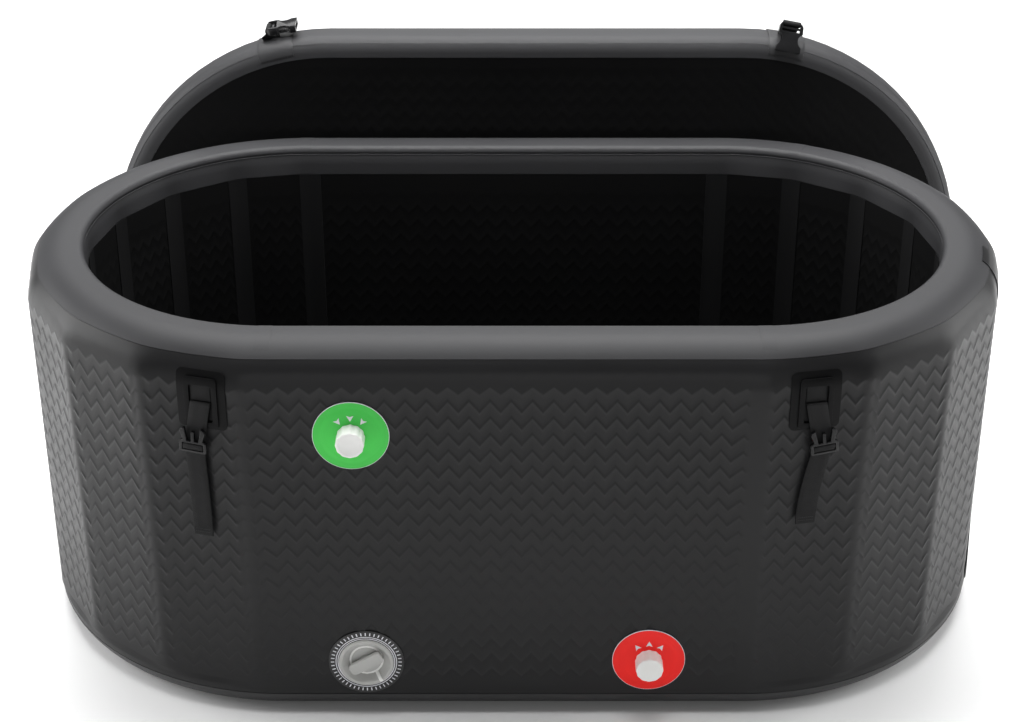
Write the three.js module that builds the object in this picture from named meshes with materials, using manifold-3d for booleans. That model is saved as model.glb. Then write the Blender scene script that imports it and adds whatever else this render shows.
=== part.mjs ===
// Oval inflatable cold plunge tub with its loose lid standing behind it.
// Millimetres, +Z up, origin at the centre of the tub's base, front towards -Y.
import * as THREE from 'three';
import { mergeVertices } from 'three/addons/utils/BufferGeometryUtils.js';
import Module from 'manifold-3d';

const wasm = await Module();
wasm.setup();

// Tub
const tubLength = 1500;
const tubWidth = 810;
const tubHeight = 625;
const wallThickness = 90;
const rimOuterRound = 63;
const baseRound = 53;
const skinThickness = 2;
const floorThickness = 2;
const panelsPerEnd = 8;
const bendBand = 40;
const leftBendLead = 36;
const rimSeamAngle = 45;
const rimTapeDrop = 48;
const baseSeamHeight = 40;
const baseTapeLap = 75;
const clearance = 0.3;

// Closing strip of the wall, at the right end
const stripWidth = 56;
const stripThickness = 1.2;
const stripPanel = 3;

// Water ports: one high on the left, one low on the right
const inletX = -229;
const inletHeight = 495;
const outletX = 202;
const outletHeight = 105;
const portPatchRadius = 54;
const portPatchThickness = 1.2;
const portFlangeRadius = 38;
const portFlangeThickness = 1.4;
const spigotRadius = 16.6;
const spigotBore = 12;
const spigotReach = 22;
const spigotTail = 22;
const portNutRadius = 27;
const portNutLength = 12;
const portGasketThickness = 2;
const capRadius = 20.5;
const capCrown = 4;
const capFlutes = 12;
const capFluteDepth = 0.8;
const capSealThickness = 2.4;

// Inflation valves: one low on the tub's front, one on the lid's outer face
const valveX = -220;
const valveHeight = 101;
const valveLabelRadius = 56.5;
const valveLabelThickness = 0.7;
const valveFlangeRadius = 41;
const valveFlangeThickness = 3.4;
const valveDishRadius = 35.5;
const valvePocketRadius = 26;
const valvePocketDepth = 4;
const valveSeatDepth = 16;
const valveBarrelRadius = 36.2;
const valveBarrelLength = 34;
const valveBore = 11;
const valveNutRadius = 42;
const valveNutLength = 8;
const valveGasketThickness = 1;
const valveStemRadius = 3.5;
const valveBridgeDepth = 30;
const valveBridgeThickness = 3;
const valvePlateRadius = 15;
const valvePlateThickness = 3;
const valvePlungerTravel = 5;
const valveCapRadius = 22.5;
const valveCapLength = 6;
const valveGripLength = 54;
const valveGripWidth = 18;
const valveGripHeight = 7;
const valveGripTurn = 30;
const springWire = 1.2;
const springRadius = 6.5;
const springTurns = 4;

// Buckled straps
const webWidth = 30;
const webThickness = 1.6;
const strapPivotHeight = 541;
const leftTailHeight = 322;
const rightTailHeight = 346;
const leftTailDrift = 34;
const rightTailDrift = -42;
const leftStrapShift = 19;
const rightStrapShift = 0;
const strapTiltDegrees = 13;
const foldRadius = 2.4;
const basePatchWidth = 62;
const basePatchHeight = 84;
const basePatchThickness = 0.8;
const loopPatchWidth = 50;
const loopPatchHeight = 78;
const loopPatchThickness = 1.2;
const loopWindowWidth = 34;
const loopWindowHeight = 57;
const loopWindowTop = 569;
const strapTopHeight = 580;
const buckleWidth = 41;
const buckleThickness = 6;
const ladderBarHeight = 473;
const ladderBarHalf = 2.2;
const ladderBarThickness = 3;
const ladderSlot = 3.4;
const prongReach = 30;
const socketThickness = 12;
const socketLength = 50;
const socketDepth = 29;
const socketWall = 2.2;

// Lid
const lidLength = 1476;
const lidWidth = 782;
const lidThickness = 75;
const lidRound = 24;
const lidSkin = 1.6;
const lidTapeLap = 32;
const lidSegments = 16;
const lidShift = 38;
const lidStandOff = 0.5;
const lidPatchWidth = 62;
const lidPatchThickness = 1.2;
const lidValveInset = 140;
const lidLeftStrapShift = 18;
const lidLeftWebShift = -6;
const lidLeftWebSink = 0.7;

// Worked out from the sizes above
const endRadius = tubWidth / 2;
const halfStraight = tubLength / 2 - endRadius;
const rimInnerRound = wallThickness - rimOuterRound;
const coreInset = skinThickness + clearance;
const wallFoot = Math.max(skinThickness, floorThickness) + clearance;
const bendStep = Math.PI / panelsPerEnd;
const bandHalf = bendBand / 2 / endRadius;
const panelHalf = bendStep / 2 - bandHalf;
const rimSeam = THREE.MathUtils.degToRad(rimSeamAngle);
const baseSeam = Math.asin((baseRound - baseSeamHeight) / baseRound);
const strapPanelAngle = bendStep / 2;
const foldOuter = foldRadius + webThickness / 2;
const strapPivotReach = clearance + basePatchThickness + clearance + foldOuter;
const quarter = Math.PI / 2;

const model = new THREE.Group();

// Geometry helpers

function signedVolume(position, index) {
  const a = new THREE.Vector3();
  const b = new THREE.Vector3();
  const c = new THREE.Vector3();
  let sum = 0;
  for (let i = 0; i < index.length; i += 3) {
    a.fromBufferAttribute(position, index[i]);
    b.fromBufferAttribute(position, index[i + 1]);
    c.fromBufferAttribute(position, index[i + 2]);
    sum += a.dot(b.cross(c));
  }
  return sum / 6;
}

// Merges shared corners, drops empty triangles and turns the faces outwards.
function closedGeometry(source) {
  const bare = source.clone();
  bare.deleteAttribute('normal');
  bare.deleteAttribute('uv');
  const merged = mergeVertices(bare, 1e-4);
  const corners = Array.from(merged.index.array);
  const kept = [];
  for (let i = 0; i < corners.length; i += 3) {
    const [a, b, c] = corners.slice(i, i + 3);
    if (a !== b && b !== c && c !== a) {
      kept.push(a, b, c);
    }
  }
  const facesOut = signedVolume(merged.attributes.position, kept) > 0;
  merged.setIndex(facesOut ? kept : kept.reverse());
  return merged;
}

function fromCorners(vertices, faces) {
  const geometry = new THREE.BufferGeometry();
  geometry.setAttribute('position', new THREE.Float32BufferAttribute(vertices.flat(), 3));
  geometry.setIndex(faces.flat());
  return closedGeometry(geometry);
}

function toSolid(geometry) {
  const closed = closedGeometry(geometry);
  return new wasm.Manifold(new wasm.Mesh({
    numProp: 3,
    vertProperties: new Float32Array(closed.attributes.position.array),
    triVerts: new Uint32Array(closed.index.array),
  }));
}

function fromSolid(solid) {
  const cut = solid.getMesh();
  const geometry = new THREE.BufferGeometry();
  geometry.setAttribute('position', new THREE.Float32BufferAttribute(cut.vertProperties, 3));
  geometry.setIndex(Array.from(cut.triVerts));
  return geometry;
}

function subtract(geometry, ...tools) {
  return fromSolid(tools.reduce((solid, tool) => solid.subtract(toSolid(tool)), toSolid(geometry)));
}

function join(geometry, ...others) {
  return fromSolid(others.reduce((solid, other) => solid.add(toSolid(other)), toSolid(geometry)));
}

function arc(cx, cy, radius, from, to, steps) {
  return Array.from({ length: steps + 1 }, (_, i) => {
    const angle = from + ((to - from) * i) / steps;
    return [cx + radius * Math.cos(angle), cy + radius * Math.sin(angle)];
  });
}

// Sweeps a closed profile of [inset, height] points along stations, each a function of the inset.
function sweep(profile, stations, looped) {
  const turned = THREE.ShapeUtils.area(profile.map(([u, v]) => new THREE.Vector2(u, v))) < 0;
  const outline = turned ? [...profile].reverse() : profile;
  const count = outline.length;
  const vertices = stations.flatMap((station) => outline.map(([inset, z]) => [...station(inset), z]));
  const spans = looped ? stations.length : stations.length - 1;
  const faces = [];
  for (let i = 0; i < spans; i += 1) {
    const here = i * count;
    const next = ((i + 1) % stations.length) * count;
    for (let j = 0; j < count; j += 1) {
      const k = (j + 1) % count;
      faces.push([here + j, here + k, next + k], [here + j, next + k, next + j]);
    }
  }
  if (!looped) {
    const flat = outline.map(([u, v]) => new THREE.Vector2(u, v));
    const end = (stations.length - 1) * count;
    for (const [a, b, c] of THREE.ShapeUtils.triangulateShape(flat, [])) {
      faces.push([a, c, b], [end + a, end + b, end + c]);
    }
  }
  return fromCorners(vertices, faces);
}

// Turned piece about +Z from a closed outline of [radius, height] points.
function turned(outline, segments) {
  const points = [...outline, outline[0]].map(([r, z]) => new THREE.Vector2(r, z));
  return closedGeometry(new THREE.LatheGeometry(points, segments).rotateX(quarter));
}

function disc(radius, low, high, segments) {
  const rod = new THREE.CylinderGeometry(radius, radius, high - low, segments);
  return rod.rotateX(quarter).translate(0, 0, (low + high) / 2);
}

function washer(inner, outer, low, high, segments) {
  return turned([[inner, low], [outer, low], [outer, high], [inner, high]], segments);
}

function plate(shape, low, high) {
  const options = { depth: high - low, bevelEnabled: false, curveSegments: 3 };
  return closedGeometry(new THREE.ExtrudeGeometry(shape, options).translate(0, 0, low));
}

function polygon(points) {
  return new THREE.Shape(points.map(([x, y]) => new THREE.Vector2(x, y)));
}

function roundedRectangle(width, height, radius) {
  const x = width / 2;
  const y = height / 2;
  const shape = new THREE.Shape();
  shape.moveTo(-x + radius, -y);
  shape.lineTo(x - radius, -y);
  shape.absarc(x - radius, -y + radius, radius, -quarter, 0);
  shape.lineTo(x, y - radius);
  shape.absarc(x - radius, y - radius, radius, 0, quarter);
  shape.lineTo(-x + radius, y);
  shape.absarc(-x + radius, y - radius, radius, quarter, 2 * quarter);
  shape.lineTo(-x, -y + radius);
  shape.absarc(-x + radius, -y + radius, radius, 2 * quarter, 3 * quarter);
  return shape;
}

// Flat band of constant section along centres, with its width along the given directions.
function ribbon(centres, widths, width, thickness) {
  const section = centres.flatMap((centre, i) => {
    const before = centres[Math.max(i - 1, 0)];
    const after = centres[Math.min(i + 1, centres.length - 1)];
    const along = after.clone().sub(before).normalize();
    const across = widths[i].clone().addScaledVector(along, -widths[i].dot(along)).normalize();
    const through = across.clone().cross(along).multiplyScalar(thickness / 2);
    const side = across.multiplyScalar(width / 2);
    return [[-1, -1], [1, -1], [1, 1], [-1, 1]].map(([s, t]) => (
      centre.clone().addScaledVector(side, s).addScaledVector(through, t).toArray()
    ));
  });
  const faces = [];
  for (let i = 0; i + 1 < centres.length; i += 1) {
    for (let j = 0; j < 4; j += 1) {
      const a = 4 * i + j;
      const b = 4 * i + ((j + 1) % 4);
      faces.push([a, b, b + 4], [a, b + 4, a + 4]);
    }
  }
  const last = 4 * (centres.length - 1);
  faces.push([0, 2, 1], [0, 3, 2], [last, last + 1, last + 2], [last, last + 2, last + 3]);
  return fromCorners(section, faces);
}

// Path of [outward, height] corners, each rounded by a short arc.
function roundedPath(corners, radius) {
  const path = new THREE.Path();
  const points = corners.map(([u, v]) => new THREE.Vector2(u, v));
  path.moveTo(points[0].x, points[0].y);
  for (let i = 1; i + 1 < points.length; i += 1) {
    const into = points[i - 1].clone().sub(points[i]).setLength(radius).add(points[i]);
    const out = points[i + 1].clone().sub(points[i]).setLength(radius).add(points[i]);
    path.lineTo(into.x, into.y);
    path.quadraticCurveTo(points[i].x, points[i].y, out.x, out.y);
  }
  path.lineTo(points.at(-1).x, points.at(-1).y);
  return path.getPoints(3).map(({ x, y }) => [x, y]);
}

function add(parent, name, geometry, color, roughness, metalness = 0) {
  const material = new THREE.MeshStandardMaterial({ color, roughness, metalness });
  const mesh = new THREE.Mesh(geometry, material);
  mesh.name = name;
  parent.add(mesh);
  return mesh;
}

// Group whose x runs along the wall, y up and z outwards, at a plan angle of the outward normal.
function wallGroup(x, y, z, normalAngle) {
  const outward = new THREE.Vector3(Math.cos(normalAngle), Math.sin(normalAngle), 0);
  const up = new THREE.Vector3(0, 0, 1);
  const along = up.clone().cross(outward);
  const group = new THREE.Group();
  group.applyMatrix4(new THREE.Matrix4().makeBasis(along, up, outward).setPosition(x, y, z));
  group.updateMatrixWorld();
  model.add(group);
  return group;
}

function inGroup(geometry, group) {
  return geometry.clone().applyMatrix4(group.matrixWorld);
}

const colour = {
  wall: 0x2c2c2f,
  tape: 0x3a3a3e,
  inside: 0x111113,
  web: 0x19191a,
  buckle: 0x202021,
  white: 0xebebe6,
  green: 0x4bbe55,
  red: 0xe82d28,
  grey: 0xa0a09b,
  rubber: 0x1b1b1c,
  steel: 0xb4b6b8,
};

// Plan of the tub: flat panels between narrow bent bands round each end

// The front panel runs a little way round the left end, so that end's panels are narrower
function panelSpread(side) {
  const lead = side < 0 ? leftBendLead / endRadius : 0;
  const step = (Math.PI - lead) / panelsPerEnd;
  return { step, middle: lead + step / 2, apothem: endRadius * Math.cos(step / 2 - bandHalf) };
}

function bendAngles(side) {
  const angles = [-quarter];
  for (let k = 0; k <= panelsPerEnd; k += 1) {
    const bend = -quarter + k * panelSpread(side).step;
    if (k > 0) {
      angles.push(bend - bandHalf);
    }
    if (bend + bandHalf < quarter) {
      angles.push(bend + bandHalf);
    }
  }
  return [...angles, quarter];
}

function ovalStations(length, width, rightAngles, leftAngles) {
  const radius = width / 2;
  const half = length / 2 - radius;
  const end = (side, angles) => angles.map((angle) => (inset) => [
    side * (half + (radius - inset) * Math.cos(angle)),
    side * (radius - inset) * Math.sin(angle),
  ]);
  return [...end(1, rightAngles), ...end(-1, leftAngles)];
}

function between(first, second, share) {
  return (inset) => {
    const [x0, y0] = first(inset);
    const [x1, y1] = second(inset);
    return [x0 + (x1 - x0) * share, y0 + (y1 - y0) * share];
  };
}

const wallStations = ovalStations(tubLength, tubWidth, bendAngles(1), bendAngles(-1));

// Points of the wall's section, as [inset from the outer face, height], at a depth under its surface
function rimOuter(depth, from, to, steps) {
  return arc(rimOuterRound, tubHeight - rimOuterRound, rimOuterRound - depth, from, to, steps);
}

function rimInner(depth, from, to, steps) {
  return arc(rimOuterRound, tubHeight - rimInnerRound, rimInnerRound - depth, from, to, steps);
}

function baseCurve(depth, from, to, steps) {
  return arc(baseRound, baseRound, baseRound - depth, from, to, steps);
}

// Wall

const portFrames = {
  inlet: wallGroup(inletX, -endRadius, inletHeight, -quarter),
  outlet: wallGroup(outletX, -endRadius, outletHeight, -quarter),
};
const valveFrame = wallGroup(valveX, -endRadius, valveHeight, -quarter);
const valvePocket = valveBarrelLength + valvePlateThickness + valvePlungerTravel + 3;

function wallCuts(low, valveRadius) {
  const bore = disc(spigotRadius + clearance, low, baseRound, 20);
  const ports = Object.values(portFrames).map((frame) => inGroup(bore, frame));
  const pocket = disc(valveRadius + clearance, -valvePocket, baseRound, 24);
  return valveRadius ? [...ports, inGroup(pocket, valveFrame)] : ports;
}

function makeCore() {
  const under = baseCurve(coreInset, 3 * quarter, Math.PI + baseSeam, 4);
  const profile = [
    ...under.map(([inset, z]) => [inset, Math.max(z, wallFoot)]),
    ...rimOuter(coreInset, Math.PI, quarter, 6),
    ...rimInner(coreInset, quarter, 0, 4).slice(1),
    [wallThickness - coreInset, wallFoot],
  ];
  const ring = sweep(profile, wallStations, true);
  add(model, 'drop_stitch_core', subtract(ring, ...wallCuts(-2 * wallThickness, valveNutRadius)), 0x8d8f90, 0.9);
}

function makeOuterSkin() {
  const outside = (depth) => [
    ...baseCurve(depth, Math.PI + baseSeam, Math.PI, 1),
    ...rimOuter(depth, Math.PI, Math.PI - rimSeam, 3),
  ];
  const profile = [...outside(0), ...outside(skinThickness).reverse()];
  const tube = sweep(profile, wallStations, true);
  add(model, 'outer_wall_skin', subtract(tube, ...wallCuts(-wallThickness / 2, valveBarrelRadius)), colour.wall, 0.5);
}

function makeInnerSkin() {
  const top = tubHeight - rimTapeDrop - clearance;
  const face = wallThickness - skinThickness;
  const profile = [[face, wallFoot], [wallThickness, wallFoot], [wallThickness, top], [face, top]];
  const tube = sweep(profile, wallStations, true);
  add(model, 'inner_wall_skin', subtract(tube, ...wallCuts(-2 * wallThickness, 0)), colour.inside, 0.55);
}

function makeRimTape() {
  const start = Math.PI - rimSeam - clearance / rimOuterRound;
  const over = (depth) => [
    ...rimOuter(depth, start, quarter, 3),
    ...rimInner(depth, quarter, 0, 4).slice(1),
    [wallThickness - depth, tubHeight - rimTapeDrop],
  ];
  const profile = [...over(0), ...over(skinThickness).reverse()];
  add(model, 'rim_tape', sweep(profile, wallStations, true), colour.tape, 0.45);
}

function makeBaseTape() {
  const start = Math.PI + baseSeam + clearance / baseRound;
  const under = (depth) => [
    ...baseCurve(depth, start, 3 * quarter, 4),
    [baseTapeLap, depth],
  ];
  const profile = [...under(0), ...under(skinThickness).reverse()];
  add(model, 'base_tape', sweep(profile, wallStations, true), colour.tape, 0.5);
}

function makeFloor() {
  const edge = baseTapeLap + clearance;
  const outline = wallStations.map((station) => station(edge));
  add(model, 'floor_sheet', plate(polygon(outline), 0, floorThickness), colour.inside, 0.6);
}

// Strip welded over the joint where the wall's two ends meet, folded over the rim
function makeClosingStrip() {
  const first = 2 * stripPanel + 1;
  const chord = 2 * endRadius * Math.sin(panelHalf);
  const share = stripWidth / chord / 2;
  const edges = [0.5 - share, 0.5 + share].map((at) => (
    between(wallStations[first], wallStations[first + 1], at)
  ));
  const fold = Math.PI - rimSeam - (quarter - rimSeam) / 3;
  const side = (depth) => [
    ...baseCurve(depth, Math.PI + baseSeam / 2, Math.PI, 1),
    ...rimOuter(depth, Math.PI, Math.PI - rimSeam, 3),
    ...rimOuter(depth, Math.PI - rimSeam, fold, 1).slice(1),
  ];
  const profile = [...side(-clearance), ...side(-clearance - stripThickness).reverse()];
  add(model, 'closing_seam_strip', sweep(profile, edges, false), colour.tape, 0.5);
}

// Water ports

function flutedOutline(radius, flutes, depth) {
  const steps = 4 * flutes;
  return Array.from({ length: steps }, (_, i) => {
    const angle = (i / steps) * 4 * quarter;
    const r = radius - (depth / 2) * (1 - Math.cos(angle * flutes));
    return [r * Math.cos(angle), r * Math.sin(angle)];
  });
}

function makePort(name, frame, patchColour) {
  const hole = spigotRadius + clearance;
  const flangeTop = clearance + portFlangeThickness;
  const raised = flangeTop + clearance;
  const domeTop = raised + portPatchThickness;
  const slope = portFlangeRadius + clearance + domeTop;
  add(frame, `${name}_patch`, turned([
    [hole, raised],
    [portFlangeRadius + clearance, raised],
    [slope, clearance],
    [portPatchRadius, clearance],
    [portPatchRadius, clearance + portPatchThickness],
    [slope + portPatchThickness, clearance + portPatchThickness],
    [portFlangeRadius, domeTop],
    [hole, domeTop],
  ], 28), patchColour, 0.4);

  add(frame, `${name}_spigot`, turned([
    [spigotBore, -wallThickness - spigotTail],
    [spigotRadius, -wallThickness - spigotTail],
    [spigotRadius, clearance],
    [portFlangeRadius, clearance],
    [portFlangeRadius, flangeTop],
    [spigotRadius, flangeTop],
    [spigotRadius, spigotReach],
    [spigotBore, spigotReach],
  ], 20), colour.white, 0.35);

  const gasketFar = -wallThickness - clearance - portGasketThickness;
  add(
    frame,
    `${name}_inner_gasket`,
    washer(hole, portNutRadius, gasketFar, -wallThickness - clearance, 20),
    colour.rubber,
    0.8,
  );

  const nutNear = gasketFar - clearance;
  const nut = new THREE.CylinderGeometry(portNutRadius, portNutRadius, portNutLength, 8);
  nut.rotateX(quarter).translate(0, 0, nutNear - portNutLength / 2);
  const nutBore = disc(hole, nutNear - 2 * portNutLength, nutNear + portNutLength, 20);
  add(frame, `${name}_inner_nut`, subtract(nut, nutBore), colour.white, 0.4);

  const sealLow = spigotReach + clearance;
  const sealHigh = sealLow + capSealThickness;
  const capInside = spigotRadius + 2 * clearance;
  add(
    frame,
    `${name}_cap_seal`,
    washer(spigotBore, capInside - clearance, sealLow, sealHigh, 20),
    colour.rubber,
    0.8,
  );

  const capLow = domeTop + clearance;
  const capTop = sealHigh + clearance + capCrown;
  const skirt = plate(polygon(flutedOutline(capRadius, capFlutes, capFluteDepth)), capLow, capTop - capCrown / 2);
  const crown = new THREE.CylinderGeometry(capRadius - capCrown / 2, capRadius - capFluteDepth, capCrown, 24);
  crown.rotateX(quarter).translate(0, 0, capTop - capCrown / 2);
  const bore = disc(capInside, capLow - capCrown, sealHigh + clearance, 24);
  add(frame, `${name}_cap`, subtract(join(skirt, crown), bore), colour.white, 0.35);
}

// Inflation valve

function helix(radius, wire, turns, low, high) {
  const count = turns * 8;
  const centre = (i) => {
    const angle = (i / 8) * 4 * quarter;
    const z = low + wire / 2 + ((high - low - wire) * i) / count;
    return [radius, angle, z];
  };
  const vertices = [];
  for (let i = 0; i <= count; i += 1) {
    const [r, angle, z] = centre(i);
    for (let j = 0; j < 5; j += 1) {
      const turn = (j / 5) * 4 * quarter;
      const reach = r + (wire / 2) * Math.cos(turn);
      vertices.push([reach * Math.cos(angle), reach * Math.sin(angle), z + (wire / 2) * Math.sin(turn)]);
    }
  }
  const faces = [];
  for (let i = 0; i < count; i += 1) {
    for (let j = 0; j < 5; j += 1) {
      const a = 5 * i + j;
      const b = 5 * i + ((j + 1) % 5);
      faces.push([a, a + 5, b + 5], [a, b + 5, b]);
    }
  }
  const end = 5 * count;
  for (let j = 1; j < 4; j += 1) {
    faces.push([0, j, j + 1], [end, end + j + 1, end + j]);
  }
  return fromCorners(vertices, faces);
}

function makeValve(prefix, frame, seatTop) {
  const flangeLow = seatTop + clearance;
  const lip = flangeLow + valveFlangeThickness;
  const wellTop = lip - 0.8;
  const bridgeTop = -valveBridgeDepth + valveBridgeThickness;
  const guide = valveStemRadius + clearance;
  const body = turned([
    [valveBore, -valveBarrelLength],
    [valveBarrelRadius, -valveBarrelLength],
    [valveBarrelRadius, flangeLow],
    [valveFlangeRadius, flangeLow],
    [valveFlangeRadius, lip - 1.4],
    [valveFlangeRadius - 1.4, lip],
    [valveDishRadius + 1, lip],
    [valveDishRadius, wellTop],
    [valvePocketRadius, -valvePocketDepth],
    [valvePocketRadius, -valveSeatDepth],
    [valveBore, -valveSeatDepth],
    [valveBore, bridgeTop],
    [guide, bridgeTop],
    [guide, -valveBridgeDepth],
    [valveBore, -valveBridgeDepth],
  ], 24);
  const windowRadius = (valveBore - guide) / 2 - 1;
  const windows = [0, 1, 2].map((i) => {
    const hole = disc(windowRadius, -valveBridgeDepth - 1, bridgeTop + 1, 8);
    hole.translate((valveBore + guide) / 2, 0, 0);
    return hole.rotateZ((i * 4 * quarter) / 3);
  });
  add(frame, `${prefix}_body`, subtract(body, ...windows), colour.grey, 0.4);

  const plateTop = -valveBarrelLength - clearance;
  const headLow = -valveSeatDepth + 1;
  const headTop = headLow + 2;
  const plunger = turned([
    [0, plateTop - valvePlateThickness],
    [valvePlateRadius, plateTop - valvePlateThickness],
    [valvePlateRadius, plateTop],
    [valveStemRadius, plateTop],
    [valveStemRadius, headLow],
    [springRadius + springWire, headLow],
    [springRadius + springWire, headTop],
    [0, headTop],
  ], 16);
  add(frame, `${prefix}_plunger`, plunger, colour.white, 0.4);

  const coil = helix(springRadius, springWire, springTurns, bridgeTop + clearance, headLow - clearance);
  add(frame, `${prefix}_spring`, coil, colour.steel, 0.3, 1);

  const capLow = -valvePocketDepth - valveCapLength;
  const sealInner = springRadius + springWire + 4;
  add(
    frame,
    `${prefix}_cap_seal`,
    washer(sealInner, valveCapRadius - 1, -valveSeatDepth + clearance, capLow - clearance, 20),
    colour.rubber,
    0.8,
  );

  const gripLow = wellTop - valveGripHeight / 2;
  const cap = disc(valveCapRadius, capLow, -valvePocketDepth, 24);
  const neck = disc(valveGripWidth / 2, -valvePocketDepth - 1, gripLow + 1, 16);
  const grip = plate(
    roundedRectangle(valveGripLength, valveGripWidth, valveGripWidth / 3),
    gripLow,
    gripLow + valveGripHeight,
  );
  const capWhole = join(cap, neck, grip);
  capWhole.rotateZ(THREE.MathUtils.degToRad(valveGripTurn));
  add(frame, `${prefix}_cap`, capWhole, colour.grey, 0.4);

  // Tether: a loose ring under the grip, with a tongue lying up the dish to its lip
  const ringLow = -valvePocketDepth - 1.4;
  const ring = washer(valveCapRadius + clearance, valvePocketRadius - clearance, ringLow, ringLow + 1.2, 24);
  const tongueTop = lip + clearance + 1.2;
  const away = [
    [valvePocketRadius - 2, ringLow],
    [valvePocketRadius - clearance, ringLow],
    [valvePocketRadius - clearance, -valvePocketDepth + clearance],
    [valveDishRadius + 0.6, lip + clearance],
    [valveFlangeRadius - 2, lip + clearance],
    [valveFlangeRadius - 2, tongueTop],
    [valveDishRadius, tongueTop],
    [valvePocketRadius - 2, ringLow + 1.4],
  ];
  const tongue = plate(polygon(away), -2.5, 2.5).rotateX(quarter).rotateZ(-quarter * 0.6);
  add(frame, `${prefix}_cap_tether`, join(ring, tongue), colour.grey, 0.5);
}

function makeTubValve() {
  add(
    valveFrame,
    'valve_label_ring',
    washer(valveFlangeRadius + clearance, valveLabelRadius, clearance, clearance + valveLabelThickness, 28),
    colour.wall,
    0.35,
  );
  const gasketTop = clearance + valveGasketThickness;
  add(
    valveFrame,
    'valve_gasket',
    washer(valveBarrelRadius + clearance, valveFlangeRadius - 1, clearance, gasketTop, 24),
    colour.rubber,
    0.8,
  );
  const nutTop = -skinThickness - clearance;
  add(
    valveFrame,
    'valve_nut',
    washer(valveBarrelRadius + clearance, valveNutRadius, nutTop - valveNutLength, nutTop, 24),
    colour.grey,
    0.5,
  );
  makeValve('valve', valveFrame, gasketTop);
}

// Front straps

function maleBuckle() {
  const half = buckleWidth / 2;
  const slotHalf = webWidth / 2 + 1;
  const barEdge = ladderBarHalf + ladderSlot;
  const foot = -barEdge - 3.4;
  const head = barEdge + 3;
  const prong = half - 1.5;
  const shape = new THREE.Shape();
  shape.moveTo(-half + 2, foot);
  shape.lineTo(half - 2, foot);
  shape.lineTo(half, foot + 2);
  shape.lineTo(half, head - 1);
  shape.lineTo(prong - 4, head + 2);
  shape.quadraticCurveTo(prong - 2, head + 10, prong, head + 14);
  shape.lineTo(prong, prongReach - 5);
  shape.quadraticCurveTo(prong - 2, prongReach, prong - 7, prongReach);
  shape.lineTo(prong - 7, prongReach - 4);
  shape.quadraticCurveTo(prong - 9, head + 8, prong - 10, head);
  shape.lineTo(2.4, head);
  shape.lineTo(2.4, prongReach - 6);
  shape.lineTo(-2.4, prongReach - 6);
  shape.lineTo(-2.4, head);
  shape.lineTo(-prong + 10, head);
  shape.quadraticCurveTo(-prong + 9, head + 8, -prong + 7, prongReach - 4);
  shape.lineTo(-prong + 7, prongReach);
  shape.quadraticCurveTo(-prong + 2, prongReach, -prong, prongReach - 5);
  shape.lineTo(-prong, head + 14);
  shape.quadraticCurveTo(-prong + 2, head + 10, -prong + 4, head + 2);
  shape.lineTo(-half, head - 1);
  shape.lineTo(-half, foot + 2);
  for (const low of [-barEdge, ladderBarHalf]) {
    const slot = [[-slotHalf, low], [-slotHalf, low + ladderSlot], [slotHalf, low + ladderSlot], [slotHalf, low]];
    shape.holes.push(new THREE.Path(slot.map(([x, y]) => new THREE.Vector2(x, y))));
  }
  const frame = plate(shape, -buckleThickness / 2, buckleThickness / 2);
  const spare = (buckleThickness - ladderBarThickness) / 2;
  const relief = [1, -1].map((side) => {
    const block = new THREE.BoxGeometry(2 * slotHalf, 2 * barEdge, 2 * spare);
    return block.translate(0, 0, (side * buckleThickness) / 2);
  });
  return subtract(frame, ...relief);
}

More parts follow.
